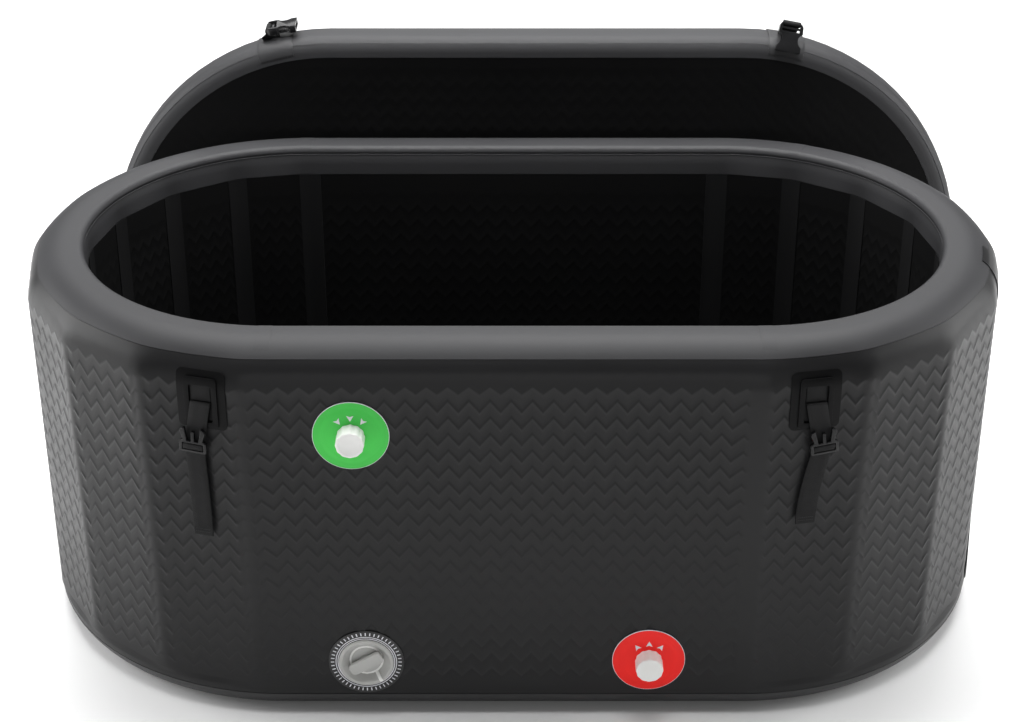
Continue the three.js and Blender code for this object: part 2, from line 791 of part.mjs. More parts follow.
// One strap: pieces hang in the wall group's own x, y, z, with the pivot at its origin
function makeStrap(name, side, shift, tailHeight, tailDrift) {
  const { middle, apothem } = panelSpread(side);
  const normalAngle = -quarter + side * middle;
  const panelX = side * halfStraight + apothem * Math.cos(normalAngle) - shift * Math.sin(normalAngle);
  const panelY = apothem * Math.sin(normalAngle) + shift * Math.cos(normalAngle);
  const wall = wallGroup(panelX, panelY, strapPivotHeight, normalAngle);
  const topY = strapTopHeight - strapPivotHeight;

  const baseTop = clearance + basePatchThickness;
  const baseShape = roundedRectangle(basePatchWidth, basePatchHeight, 8);
  const base = plate(baseShape, clearance, baseTop).translate(0, topY + 3 - basePatchHeight / 2, 0);
  add(wall, `${name}_strap_base_patch`, base, colour.wall, 0.45);

  const tilt = THREE.MathUtils.degToRad(side * strapTiltDegrees);
  const webTop = baseTop + clearance + webThickness;
  const loopLow = baseTop + clearance;
  const windowTop = loopWindowTop - strapPivotHeight;
  const pocket = new THREE.BoxGeometry(webWidth + 2, topY, 2 * (webTop + clearance - loopLow));
  pocket.translate(0, topY / 2 - 4, loopLow);
  const loopShape = roundedRectangle(loopPatchWidth, loopPatchHeight, 6);
  const loopHigh = webTop + clearance + loopPatchThickness;
  const loop = plate(loopShape, loopLow, loopHigh).translate(0, topY - loopPatchHeight / 2, 0);
  const opening = plate(roundedRectangle(loopWindowWidth, loopWindowHeight, 3), 0, 2 * loopHigh);
  opening.translate(0, windowTop - loopWindowHeight / 2, 0);
  add(wall, `${name}_strap_loop_patch`, subtract(loop, opening, pocket), colour.wall, 0.45);

  const anchorLow = foldOuter + (webWidth / 2) * Math.sin(Math.abs(tilt)) + clearance;
  const anchorLength = topY - 6 - anchorLow;
  const anchor = new THREE.BoxGeometry(webWidth, anchorLength, webThickness);
  anchor.translate(0, anchorLow + anchorLength / 2, webTop - webThickness / 2);
  add(wall, `${name}_strap_anchor`, closedGeometry(anchor), colour.web, 0.8);

  const hanging = new THREE.Group();
  hanging.position.z = strapPivotReach;
  hanging.rotation.z = tilt;
  wall.add(hanging);

  const barY = ladderBarHeight - strapPivotHeight;
  const backZ = foldRadius;
  const buckleZ = backZ + webThickness / 2 + clearance + buckleThickness / 2;
  const frontZ = buckleZ + ladderBarThickness / 2 + clearance + webThickness / 2;
  const stepY = ladderBarHalf + ladderSlot / 2;
  const tailY = tailHeight - strapPivotHeight;
  const fold = arc(0, 0, foldRadius, Math.PI, 0, 6);
  const threaded = roundedPath([
    [backZ, -1],
    [backZ, barY + stepY],
    [frontZ, barY + stepY],
    [frontZ, barY - stepY],
    [backZ, barY - stepY],
    [backZ, barY - 4 * stepY],
  ], 1.3);
  const tail = Array.from({ length: 6 }, (_, i) => (i + 1) / 6);
  const tailFrom = barY - 4 * stepY;
  const centres = [...fold, ...threaded].map(([z, y]) => new THREE.Vector3(0, y, z));
  const widths = centres.map(() => new THREE.Vector3(1, 0, 0));
  for (const share of tail) {
    const bend = Math.sin(share * quarter);
    const lean = (tailDrift / (tailFrom - tailY)) * quarter * Math.cos(share * quarter);
    centres.push(new THREE.Vector3(tailDrift * bend, tailFrom + (tailY - tailFrom) * share, backZ));
    widths.push(new THREE.Vector3(1, lean, 0).normalize());
  }
  add(hanging, `${name}_strap_webbing`, ribbon(centres, widths, webWidth, webThickness), colour.web, 0.8);

  const buckle = maleBuckle().translate(0, barY, buckleZ);
  add(hanging, `${name}_male_buckle`, buckle, colour.buckle, 0.4);
}

// Lid: modelled closed, underside down, then stood on its rear edge behind the tub

const lid = new THREE.Group();
lid.rotation.x = -quarter;
lid.position.set(lidShift, endRadius + lidStandOff, lidWidth / 2);
model.add(lid);

const lidRadius = lidWidth / 2;
const lidHalf = lidLength / 2 - lidRadius;
const lidStep = (2 * quarter) / lidSegments;
const lidAngles = Array.from({ length: lidSegments + 1 }, (_, i) => -quarter + i * lidStep);
const lidStations = ovalStations(lidLength, lidWidth, lidAngles, lidAngles);

function lidEdge(depth, steps) {
  const top = lidThickness - lidRound;
  return [
    ...arc(lidRound, lidRound, lidRound - depth, 3 * quarter, 2 * quarter, steps),
    ...arc(lidRound, top, lidRound - depth, 2 * quarter, quarter, steps),
  ];
}

function lidOutline(inset) {
  return polygon(lidStations.map((station) => station(inset)));
}

// Solid oval slab: rings of the edge section closed by flat faces
function ovalSlab(edge) {
  const count = lidStations.length;
  const vertices = edge.flatMap(([inset, z]) => lidStations.map((station) => [...station(inset), z]));
  const faces = [];
  for (let i = 0; i + 1 < edge.length; i += 1) {
    for (let j = 0; j < count; j += 1) {
      const k = (j + 1) % count;
      const a = i * count;
      const b = a + count;
      faces.push([a + j, a + k, b + k], [a + j, b + k, b + j]);
    }
  }
  const top = (edge.length - 1) * count;
  for (let j = 1; j + 1 < count; j += 1) {
    faces.push([0, j + 1, j], [top, top + j, top + j + 1]);
  }
  return fromCorners(vertices, faces);
}

function makeLid() {
  const inset = lidSkin + clearance;
  const valveAt = new THREE.Matrix4().makeTranslation(0, lidRadius - lidValveInset, lidThickness);
  const pocket = disc(valveBarrelRadius + clearance, -valvePocket, lidRound, 24).applyMatrix4(valveAt);
  add(lid, 'lid_drop_stitch_core', subtract(ovalSlab(lidEdge(inset, 4)), pocket), 0x8d8f90, 0.9);

  const around = (depth) => [[lidTapeLap, depth], ...lidEdge(depth, 4), [lidTapeLap, lidThickness - depth]];
  const profile = [...around(0), ...around(lidSkin).reverse()];
  add(lid, 'lid_edge_tape', sweep(profile, lidStations, true), colour.tape, 0.45);

  const face = lidOutline(lidTapeLap + clearance);
  add(lid, 'lid_underside_skin', plate(face, 0, lidSkin), colour.inside, 0.55);
  const outer = plate(face, lidThickness - lidSkin, lidThickness);
  add(lid, 'lid_outer_skin', subtract(outer, pocket), colour.wall, 0.5);

  const valve = new THREE.Group();
  valve.applyMatrix4(valveAt);
  lid.add(valve);
  makeValve('lid_valve', valve, 0);
}

function femaleBuckle() {
  const half = buckleWidth / 2;
  const waist = half - 7;
  const mouth = socketLength;
  const shape = new THREE.Shape();
  shape.moveTo(-half + 5, 0);
  shape.lineTo(half - 5, 0);
  shape.lineTo(half - 1, 6);
  shape.lineTo(half, 18);
  shape.quadraticCurveTo(waist - 1, 22, waist, 30);
  shape.quadraticCurveTo(waist + 1, 37, half, mouth - 9);
  shape.lineTo(half, mouth);
  shape.lineTo(-half, mouth);
  shape.lineTo(-half, mouth - 9);
  shape.quadraticCurveTo(-waist - 1, 37, -waist, 30);
  shape.quadraticCurveTo(-waist + 1, 22, -half, 18);
  shape.lineTo(-half + 1, 6);
  const slotHalf = webWidth / 2 + 1;
  for (const low of [4, 11.5]) {
    const slot = [[-slotHalf, low], [-slotHalf, low + 4], [slotHalf, low + 4], [slotHalf, low]];
    shape.holes.push(new THREE.Path(slot.map(([x, y]) => new THREE.Vector2(x, y))));
  }
  const body = plate(shape, -socketThickness / 2, socketThickness / 2);
  const height = socketThickness - 2 * socketWall;
  const socket = new THREE.BoxGeometry(buckleWidth - 2 * socketWall - 3, 2 * socketDepth, height);
  socket.translate(0, mouth, 0);
  const thin = [1, -1].map((side) => {
    const block = new THREE.BoxGeometry(2 * slotHalf, 18, socketThickness - 4);
    return block.translate(0, 7.6, (side * socketThickness) / 2 + side * 0);
  });
  return subtract(body, socket, ...thin);
}

// Group on the lid's front edge: x along the edge, y outwards from it, z towards the underside
function lidStrapAngle(side) {
  return strapPanelAngle + (side < 0 ? lidLeftStrapShift / lidRadius : 0);
}

function edgeGroup(side) {
  const angle = -quarter + side * lidStrapAngle(side);
  const outward = new THREE.Vector3(Math.cos(angle), Math.sin(angle), 0);
  const down = new THREE.Vector3(0, 0, -1);
  const along = outward.clone().cross(down);
  const group = new THREE.Group();
  const apothem = lidRadius;
  const at = outward.clone().multiplyScalar(apothem);
  at.x += side * lidHalf;
  at.z = lidThickness / 2;
  group.applyMatrix4(new THREE.Matrix4().makeBasis(along, outward, down).setPosition(at));
  lid.add(group);
  return group;
}

function makeLidStrap(name, side) {
  // Saddle patch welded round the edge
  const spread = lidPatchWidth / 2 / lidRadius;
  const centre = -quarter + lidStrapAngle(side);
  const firstStep = (centre - spread + quarter) / lidStep;
  const lastStep = (centre + spread + quarter) / lidStep;
  const at = (step) => {
    const low = Math.min(Math.floor(step), lidSegments - 1);
    return between(lidStations[low], lidStations[low + 1], step - low);
  };
  const steps = [firstStep];
  for (let k = Math.ceil(firstStep + 1e-6); k < lastStep; k += 1) {
    steps.push(k);
  }
  const right = [...steps, lastStep].map(at);
  const left = right.map((station) => (inset) => {
    const [x, y] = station(inset);
    return [-x, y];
  });
  const stations = side > 0 ? right : left.reverse();
  const wrap = (depth) => lidEdge(depth, 4);
  const profile = [...wrap(-clearance), ...wrap(-clearance - lidPatchThickness).reverse()];
  add(lid, `lid_${name}_strap_patch`, sweep(profile, stations, false), colour.tape, 0.45);

  const edge = edgeGroup(side);
  const pivotY = clearance + lidPatchThickness + clearance + foldOuter;
  const strap = new THREE.Group();
  strap.position.set(side < 0 ? lidLeftWebShift : 0, pivotY - (side < 0 ? lidLeftWebSink : 0), 0);
  edge.add(strap);

  const barRing = Math.SQRT2 * 2 + clearance + webThickness / 2;
  const fold = arc(0, 0, foldRadius, -3 * quarter, 0, 8);
  const buckle = femaleBuckle();
  if (side > 0) {
    // Flopped forwards over the edge: the webbing rises and the buckle hangs, mouth down
    const barY = 25;
    const barZ = 22;
    const lean = THREE.MathUtils.degToRad(62);
    const rise = Math.atan2(barY, barZ - foldRadius + barRing);
    const wrapStart = rise + quarter;
    const loop = arc(barZ, barY, barRing, wrapStart, wrapStart - 3.1 * quarter, 9);
    const centres = [...fold, ...loop].map(([z, y]) => new THREE.Vector3(0, y, z));
    const widths = centres.map(() => new THREE.Vector3(1, 0, 0));
    add(strap, `lid_${name}_strap_webbing`, ribbon(centres, widths, webWidth, webThickness), colour.web, 0.8);
    buckle.translate(0, -2, 0).rotateX(quarter + lean).translate(0, barY, barZ);
  } else {
    // Twisted a quarter turn: the buckle stands edge on and points along the lid's edge
    const barY = 15;
    const lift = THREE.MathUtils.degToRad(-6);
    const centres = fold.map(([z, y]) => new THREE.Vector3(0, y, z));
    const widths = fold.map(() => new THREE.Vector3(1, 0, 0));
    const twist = 6;
    for (let i = 1; i <= twist; i += 1) {
      const share = i / twist;
      const angle = quarter * Math.min(1, share * 1.5);
      const x = -barRing * Math.sin(angle);
      centres.push(new THREE.Vector3(x, 2 + (barY - 2) * share, foldRadius * (1 - share)));
      widths.push(new THREE.Vector3(Math.cos(angle), 0, -Math.sin(angle)));
    }
    for (const [x, y] of arc(0, barY, barRing, 2 * quarter, -0.9 * quarter, 8).slice(1)) {
      centres.push(new THREE.Vector3(x, y, 0));
      widths.push(new THREE.Vector3(0, 0, -1));
    }
    add(strap, `lid_${name}_strap_webbing`, ribbon(centres, widths, webWidth, webThickness), colour.web, 0.8);
    buckle.translate(0, -2, 0).rotateY(quarter).rotateZ(-quarter + lift).translate(0, barY, 0);
  }
  add(strap, `lid_${name}_female_buckle`, buckle, colour.buckle, 0.4);
}

makeCore();
makeOuterSkin();
makeInnerSkin();
makeRimTape();
makeBaseTape();
makeFloor();
makeClosingStrip();
makePort('inlet', portFrames.inlet, colour.green);
makePort('outlet', portFrames.outlet, colour.red);
makeTubValve();
makeStrap('left', -1, leftStrapShift, leftTailHeight, leftTailDrift);
makeStrap('right', 1, rightStrapShift, rightTailHeight, rightTailDrift);
makeLid();
makeLidStrap('left', -1);
makeLidStrap('right', 1);

export default model;
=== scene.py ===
"""Looks of an oval inflatable cold plunge tub and its lid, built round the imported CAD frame."""

import math

import bmesh
import bpy
import numpy as np
from mathutils import Matrix, Vector


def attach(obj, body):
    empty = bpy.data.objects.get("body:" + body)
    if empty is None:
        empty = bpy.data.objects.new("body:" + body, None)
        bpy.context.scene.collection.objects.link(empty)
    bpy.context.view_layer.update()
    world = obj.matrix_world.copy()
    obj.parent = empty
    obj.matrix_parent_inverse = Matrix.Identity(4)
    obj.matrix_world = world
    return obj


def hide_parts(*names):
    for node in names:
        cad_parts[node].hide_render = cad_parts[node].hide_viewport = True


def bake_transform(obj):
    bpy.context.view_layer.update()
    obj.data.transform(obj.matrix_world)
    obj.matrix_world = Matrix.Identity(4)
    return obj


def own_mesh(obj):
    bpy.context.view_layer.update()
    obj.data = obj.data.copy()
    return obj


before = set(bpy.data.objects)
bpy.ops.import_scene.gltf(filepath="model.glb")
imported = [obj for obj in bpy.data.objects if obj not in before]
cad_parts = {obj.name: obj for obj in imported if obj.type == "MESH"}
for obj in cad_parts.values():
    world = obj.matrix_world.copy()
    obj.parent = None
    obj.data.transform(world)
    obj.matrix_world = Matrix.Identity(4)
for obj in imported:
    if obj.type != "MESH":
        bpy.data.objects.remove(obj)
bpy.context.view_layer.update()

# Sizes in metres, as the CAD has them

TUB_RADIUS = 0.405
HALF_STRAIGHT = 0.345
TUB_HEIGHT = 0.625
WALL = 0.090
RIM_OUTER = 0.063
RIM_INNER = WALL - RIM_OUTER
BASE_ROUND = 0.053
BASE_SEAM = 0.040
RIM_DROP = 0.048
BASE_LAP = 0.075
SKIN = 0.002
GAP = 0.0003
PANELS_PER_END = 8
BEND_BAND = 0.040
LEFT_LEAD = 0.036
BEND_STEP = math.pi / PANELS_PER_END
BAND_ANGLE = BEND_BAND / 2 / TUB_RADIUS
RIM_SEAM_ANGLE = math.radians(45)
SEAM_PROUD = 0.0006
RIM_ROUNDING = math.radians(30)
LIP_ROUND = 0.009
LIP_BEAD = 0.0013
BASE_FLATTEN = 0.20
RIM_LAP = 0.024
RIM_LAP_THICKNESS = 0.0005
RIM_JOINTS = ((-0.352, -1), (0.358, -1), (-0.349, 1), (0.504, 1))
BEND_STRIP = 0.0008
STRIP_PANEL = 3
STRIP_WIDTH = 0.056
STRIP_THICKNESS = 0.0012
STRIP_FOLD = math.radians(15)

# Zig-zag embossing of the coated fabric
ROW_PITCH = 0.027
ZIGZAG_PITCH = 0.0296
ZIGZAG_RISE = 0.0095
RIDGE_SHARPNESS = 6.0
EMBOSS_DEPTH = 0.0011
INNER_EMBOSS = 0.0006
EMBOSS_FADE = 0.006
EMBOSS_LOW = 0.058
EMBOSS_HIGH = 0.602
ROW_PHASES = (0, 0.06, 0.13, 0.22, 0.5, 0.78, 0.87, 0.94)
INNER_PHASES = (0, 0.13, 0.5, 0.87)
SMOOTH_BAND = 0.020
FRONT_BAND = 0.038

# Fittings
INLET = (-0.229, 0.495)
OUTLET = (0.202, 0.105)
VALVE = (-0.220, 0.101)
SPIGOT_RADIUS = 0.0166
SPIGOT_REACH = 0.022
FLANGE_RADIUS = 0.038
FLANGE_THICKNESS = 0.0014
PATCH_RADIUS = 0.054
PATCH_THICKNESS = 0.0012
ARROW_RADIUS = 0.0298
ARROW_ANGLES = (-36, 0, 36)
CAP_RADIUS = 0.0205
CAP_CROWN = 0.004
CAP_EDGE = 0.0022
CAP_SEAL = 0.0024
CAP_FLUTES = 12
CAP_FLUTE_DEPTH = 0.0010
VALVE_BARREL = 0.0362
VALVE_FLANGE = 0.041
VALVE_FLANGE_THICKNESS = 0.0034
VALVE_DISH = 0.0355
VALVE_POCKET = 0.026
VALVE_POCKET_DEPTH = 0.004
VALVE_SEAT = 0.016
VALVE_LENGTH = 0.034
VALVE_BORE = 0.011
VALVE_STEM = 0.0035
VALVE_BRIDGE_DEPTH = 0.030
VALVE_BRIDGE_THICKNESS = 0.003
VALVE_GASKET = 0.001
SPRING_RADIUS = 0.0065
SPRING_WIRE = 0.0012
SPRING_TURNS = 4
LABEL_RADIUS = 0.0565
LABEL_THICKNESS = 0.0007
LABEL_RINGS = (0.0418, 0.0447)
LABEL_LINE = 0.0013
TICKS = 48
TICK_RADIUS = 0.0505
TICK_LENGTH = 0.0052
TICK_WIDTH = 0.0016

# Straps
WEB_WIDTH = 0.030
WEB_THICKNESS = 0.0016
FOLD_RADIUS = 0.0024
STRAP_PIVOT = 0.541
STRAP_TOP = 0.580
STRAP_TILT = math.radians(13)
LEFT_STRAP_SHIFT = 0.019
LEFT_TAIL = 0.322
RIGHT_TAIL = 0.346
LEFT_HANG = (-0.0130, math.radians(-2), -0.0095)
RIGHT_HANG = (0.0140, math.radians(6), -0.0045)
PATCH_WIDER = 1.19
PATCH_TALLER = 0.008
STRAP_SWELL = 0.0044
LADDER_BAR = 0.473
LADDER_BAR_HALF = 0.0022
LADDER_BAR_THICKNESS = 0.003
LADDER_SLOT = 0.0034
BUCKLE_THICKNESS = 0.006
BASE_PATCH_THICKNESS = 0.0008
HEM = 0.014
STITCH_LENGTH = 0.0018
LID_RIGHT_BAR = (0.025, 0.022)
LID_LEFT_BAR = 0.015

# Lid
LID_LENGTH = 1.476
LID_WIDTH = 0.782
LID_THICKNESS = 0.075
LID_ROUND = 0.024
LID_SKIN = 0.0016
LID_LAP = 0.032
LID_SHIFT = 0.038
LID_FRONT = TUB_RADIUS + 0.0005
LID_RADIUS = LID_WIDTH / 2
LID_HALF = LID_LENGTH / 2 - LID_RADIUS
LID_VALVE_HEIGHT = 0.140
LID_RECESS = 0.0005
LID_EMBOSS = 0.0006
LID_SEAM = math.radians(234)
LID_SEAM_WIDTH = 0.0012
LID_SEAM_DEPTH = 0.0008
LID_PATCH = 0.062
LID_PATCH_THICKNESS = 0.0012
LID_LEFT_SHIFT = 0.018
LID_LEFT_WEB = (-0.006, -0.0007)

# Photograph
IMAGE_WIDTH = 1024
FOCAL_PIXELS = 2126.4
CAMERA_PLACE = (-0.0022, -2.972, 2.033)
CAMERA_PITCH = math.radians(28.92)


# Small helpers

def smooth_step(low, high, value):
    t = np.clip((np.asarray(value, float) - low) / (high - low), 0, 1)
    return t * t * (3 - 2 * t)


def arc(centre, radius, start, stop, steps):
    angles = np.linspace(start, stop, steps + 1)
    return [(centre[0] + radius * math.cos(a), centre[1] + radius * math.sin(a)) for a in angles]


def link_object(name, mesh):
    piece = bpy.data.objects.new(name, mesh)
    bpy.context.scene.collection.objects.link(piece)
    return piece


def mesh_object(name, vertices, faces):
    mesh = bpy.data.meshes.new(name)
    mesh.from_pydata([tuple(v) for v in vertices], [], [tuple(f) for f in faces])
    mesh.validate()
    return link_object(name, mesh)


def tidy_normals(piece):
    work = bmesh.new()
    work.from_mesh(piece.data)
    bmesh.ops.remove_doubles(work, verts=work.verts, dist=1e-7)
    bmesh.ops.recalc_face_normals(work, faces=work.faces)
    work.to_mesh(piece.data)
    work.free()
    return piece


def shade(piece, angle=math.radians(35)):
    """Smooth shading, with edges sharper than the angle kept crisp."""
    for polygon in piece.data.polygons:
        polygon.use_smooth = True
    work = bmesh.new()
    work.from_mesh(piece.data)
    for edge in work.edges:
        edge.smooth = len(edge.link_faces) < 2 or edge.calc_face_angle(0) < angle
    work.to_mesh(piece.data)
    work.free()
    return piece


def settle(piece):
    """Turns the piece's modifiers into plain mesh."""
    bpy.context.view_layer.update()
    graph = bpy.context.evaluated_depsgraph_get()
    mesh = bpy.data.meshes.new_from_object(piece.evaluated_get(graph))
    piece.modifiers.clear()
    old = piece.data
    piece.data = mesh
    bpy.data.meshes.remove(old)
    mesh.name = piece.name
    return piece


def cut(piece, cutter, operation="DIFFERENCE"):
    change = piece.modifiers.new("cut", "BOOLEAN")
    change.operation = operation
    change.solver = "MANIFOLD"
    change.object = cutter
    settle(piece)
    bpy.data.objects.remove(cutter)
    return piece


def bevelled(piece, width, segments=2, angle=math.radians(30)):
    change = piece.modifiers.new("edges", "BEVEL")
    change.width = width
    change.segments = segments
    change.limit_method = "ANGLE"
    change.angle_limit = angle
    change.harden_normals = False
    return settle(piece)


def dress(piece, finish, body, slot, *nodes, angle=math.radians(35)):
    """Gives a piece its finish and its body (None leaves it unattached), and hides the CAD nodes that it stands for."""
    if piece.data.materials:
        piece.data.materials[0] = finish
    else:
        piece.data.materials.append(finish)
    shade(piece, angle)
    if body:
        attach(piece, body)
    if nodes:
        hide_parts(*nodes)
    return piece


def grid_faces(rows, columns, closed_rows=False, closed_columns=False):
    faces = []
    for i in range(rows if closed_rows else rows - 1):
        below = ((i + 1) % rows) * columns
        for j in range(columns if closed_columns else columns - 1):
            right = (j + 1) % columns
            faces.append((i * columns + j, i * columns + right, below + right, below + j))
    return faces


def turned(name, outline, place, segments=72):
    """Solid of revolution from a closed outline of (radius, height), about the place's own Z."""
    angles = np.linspace(0, 2 * math.pi, segments, endpoint=False)
    rings = [
        place @ Vector((r * math.cos(a), r * math.sin(a), h))
        for a in angles
        for r, h in outline
    ]
    piece = mesh_object(name, rings, grid_faces(segments, len(outline), True, True))
    return tidy_normals(piece)


def cylinder(radius, low, high, place, segments=48):
    return turned("cutter", [(0, low), (radius, low), (radius, high), (0, high)], place, segments)


def wall_place(x, z):
    """Frame on the flat front wall: X along it, Y up, Z outwards."""
    columns = ((1, 0, 0), (0, 0, 1), (0, -1, 0))
    turn = Matrix(columns).transposed().to_4x4()
    return Matrix.Translation((x, -TUB_RADIUS, z)) @ turn


def copy_of_node(name, node):
    """Merged copy of a CAD node's mesh, as a new piece."""
    piece = link_object(name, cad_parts[node].data.copy())
    piece.data.materials.clear()
    work = bmesh.new()
    work.from_mesh(piece.data)
    bmesh.ops.remove_doubles(work, verts=work.verts, dist=2e-6)
    bmesh.ops.dissolve_limit(work, angle_limit=math.radians(2), verts=work.verts, edges=work.edges)
    work.to_mesh(piece.data)
    work.free()
    return piece


def eased_copy(name, node, width, finish, body, slot, segments=2):
    """CAD node with its moulded edges eased."""
    piece = copy_of_node(name, node)
    bevelled(piece, width, segments)
    return dress(piece, finish, body, slot, node)


# Shader groups

def shader_group(name, inputs, outputs):
    group = bpy.data.node_groups.new(name, "ShaderNodeTree")
    for label, value in inputs:
        socket = group.interface.new_socket(label, in_out="INPUT", socket_type="NodeSocketFloat")
        socket.default_value = value
    for label in outputs:
        group.interface.new_socket(label, in_out="OUTPUT", socket_type="NodeSocketFloat")
    return group, group.nodes.new("NodeGroupInput"), group.nodes.new("NodeGroupOutput")


def add_math(tree, operation, first, second=None):
    node = tree.nodes.new("ShaderNodeMath")
    node.operation = operation
    for socket, value in zip(node.inputs, (first, second)):
        if isinstance(value, (int, float)):
            socket.default_value = value
        elif value is not None:
            tree.links.new(value, socket)
    return node.outputs[0]


def add_noise(tree, place, scale, detail):
    noise = tree.nodes.new("ShaderNodeTexNoise")
    noise.inputs["Detail"].default_value = detail
    tree.links.new(place, noise.inputs["Vector"])
    if isinstance(scale, (int, float)):
        noise.inputs["Scale"].default_value = scale
    else:
        tree.links.new(scale, noise.inputs["Scale"])
    return noise.outputs["Fac"]


def make_coated_grain():
    """Broad cloudy tone and fine leathery pebble of coated fabric or moulded plastic."""
    group, given, result = shader_group(
        "coated_grain", [("Cloud scale", 6.0), ("Pebble scale", 700.0)], ["Tone", "Pebble"]
    )
    where = group.nodes.new("ShaderNodeTexCoord").outputs["Object"]
    cloud = add_noise(group, where, given.outputs["Cloud scale"], 4)
    pebble = add_noise(group, where, given.outputs["Pebble scale"], 2)
    group.links.new(cloud, result.inputs["Tone"])
    group.links.new(pebble, result.inputs["Pebble"])
    return group


def make_woven_rib():
    """Ribs of woven webbing along its own length and width, in metres on its UV map. Its tone is half random cloud and
    half rib height, so the grooves carry painted shade and the crests a painted sheen.
    """
    group, given, result = shader_group(
        "woven_rib", [("Rib pitch", 0.0016), ("Thread pitch", 0.0011)], ["Tone", "Height"]
    )
    where = group.nodes.new("ShaderNodeUVMap").outputs["UV"]
    split = group.nodes.new("ShaderNodeSeparateXYZ")
    group.links.new(where, split.inputs[0])
    turns = [
        add_math(group, "DIVIDE", split.outputs[axis], given.outputs[label])
        for axis, label in ((0, "Rib pitch"), (1, "Thread pitch"))
    ]
    waves = [add_math(group, "SINE", add_math(group, "MULTIPLY", t, 2 * math.pi)) for t in turns]
    product = add_math(group, "MULTIPLY", waves[0], waves[1])
    height = add_math(group, "MULTIPLY_ADD", product, 0.5)
    height.node.inputs[2].default_value = 0.5
    cloud = add_noise(group, where, 90.0, 3)
    # Tone mixes the rib height into the random cloud: painted shade in the grooves, painted sheen on the crests.
    tone = add_math(group, "MULTIPLY", add_math(group, "ADD", height, cloud), 0.5)
    group.links.new(tone, result.inputs["Tone"])
    group.links.new(height, result.inputs["Height"])
    return group


COATED_GRAIN = make_coated_grain()
WOVEN_RIB_PAINTED_SHADE = make_woven_rib()


def finish_of(name, dark, light, rough, group, settings, bump, bump_distance, metal=0.0, shine=0.5):
    """Principled finish whose colour and roughness vary with a shared grain group."""
    material = bpy.data.materials.new(name)
    material.use_nodes = True
    tree = material.node_tree
    shader = tree.nodes["Principled BSDF"]
    shader.inputs["Metallic"].default_value = metal
    shader.inputs["Specular IOR Level"].default_value = shine
    grain = tree.nodes.new("ShaderNodeGroup")
    grain.node_tree = group
    for label, value in settings.items():
        grain.inputs[label].default_value = value
    colour = tree.nodes.new("ShaderNodeMix")
    colour.data_type = "RGBA"
    colour.inputs["A"].default_value = (*dark, 1)
    colour.inputs["B"].default_value = (*light, 1)
    tree.links.new(grain.outputs["Tone"], colour.inputs["Factor"])
    tree.links.new(colour.outputs["Result"], shader.inputs["Base Color"])
    gloss = tree.nodes.new("ShaderNodeMapRange")
    gloss.inputs["To Min"].default_value = rough[0]
    gloss.inputs["To Max"].default_value = rough[1]
    tree.links.new(grain.outputs["Tone"], gloss.inputs["Value"])
    tree.links.new(gloss.outputs["Result"], shader.inputs["Roughness"])
    relief = tree.nodes.new("ShaderNodeBump")
    relief.inputs["Strength"].default_value = bump
    relief.inputs["Distance"].default_value = bump_distance
    tree.links.new(grain.outputs[1], relief.inputs["Height"])
    tree.links.new(relief.outputs["Normal"], shader.inputs["Normal"])
    return material


def coated(name, dark, light, rough, cloud=6.0, pebble=700.0, bump=0.15, metal=0.0, shine=0.5):
    settings = {"Cloud scale": cloud, "Pebble scale": pebble}
    return finish_of(name, dark, light, rough, COATED_GRAIN, settings, bump, 0.0004, metal, shine)


def grey(value):
    return (value, value, value * 1.06)


WALL_PVC = coated("embossed wall PVC", grey(0.007), grey(0.012), (0.34, 0.46), shine=0.24)
# The rim tape is black PVC like the wall; its grey tone, about three times the wall's, is painted reflection of the
# overhead light.
RIM_TAPE_PVC_PAINTED_REFLECTION = coated("smooth tape PVC", grey(0.028), grey(0.034), (0.44, 0.54), pebble=500.0, shine=0.19)
FOOT_PVC = coated("foot tape PVC", grey(0.013), grey(0.019), (0.36, 0.46), pebble=500.0, shine=0.36)
INNER_PVC = coated("inner wall PVC", grey(0.002), grey(0.0035), (0.50, 0.62), shine=0.15)
STRIP_PVC = coated("inner bend strip PVC", grey(0.005), grey(0.008), (0.45, 0.60), shine=0.22)
# The lid edge tape is black PVC as well; its grey tone is painted reflection of the overhead light.
LID_EDGE_PVC_PAINTED_REFLECTION = coated("lid edge PVC", grey(0.027), grey(0.034), (0.48, 0.58), pebble=500.0, shine=0.22)
LID_DARK_PVC = coated("lid underside PVC", grey(0.0015), grey(0.003), (0.50, 0.62), shine=0.10)
# The lid patch takes most of the lid edge tape's grey tone, so it carries the same painted reflection; it is set a
# little darker so the patch shows apart from the tape.
LID_PATCH_PVC_PAINTED_REFLECTION = coated("lid patch PVC", grey(0.022), grey(0.028), (0.40, 0.50), pebble=500.0, shine=0.26)
# The strap patches are the same PVC as the wall; their tone, set darker than the wall's, is painted shade.
STRAP_PATCH_PVC_PAINTED_SHADE = coated("patch PVC", grey(0.003), grey(0.005), (0.34, 0.46), pebble=500.0, shine=0.10)
LABEL_BLACK = coated("label film", grey(0.008), grey(0.012), (0.25, 0.35), bump=0.03)
PRINT_WHITE = coated("printed white", grey(0.70), grey(0.80), (0.40, 0.50), bump=0.03)
PORT_GREEN = coated("green patch PVC", (0.055, 0.54, 0.075), (0.070, 0.62, 0.090), (0.40, 0.50), 14.0, 600.0, shine=0.25)
PORT_RED = coated("red patch PVC", (0.94, 0.014, 0.010), (0.98, 0.020, 0.015), (0.40, 0.50), 14.0, 600.0, shine=0.25)
CAP_WHITE = coated("moulded white", (0.84, 0.84, 0.82), (0.90, 0.90, 0.88), (0.30, 0.42), 30.0, 900.0, 0.06)
VALVE_GREY = coated("moulded grey", (0.42, 0.42, 0.41), (0.50, 0.50, 0.48), (0.30, 0.42), 30.0, 900.0, 0.06)
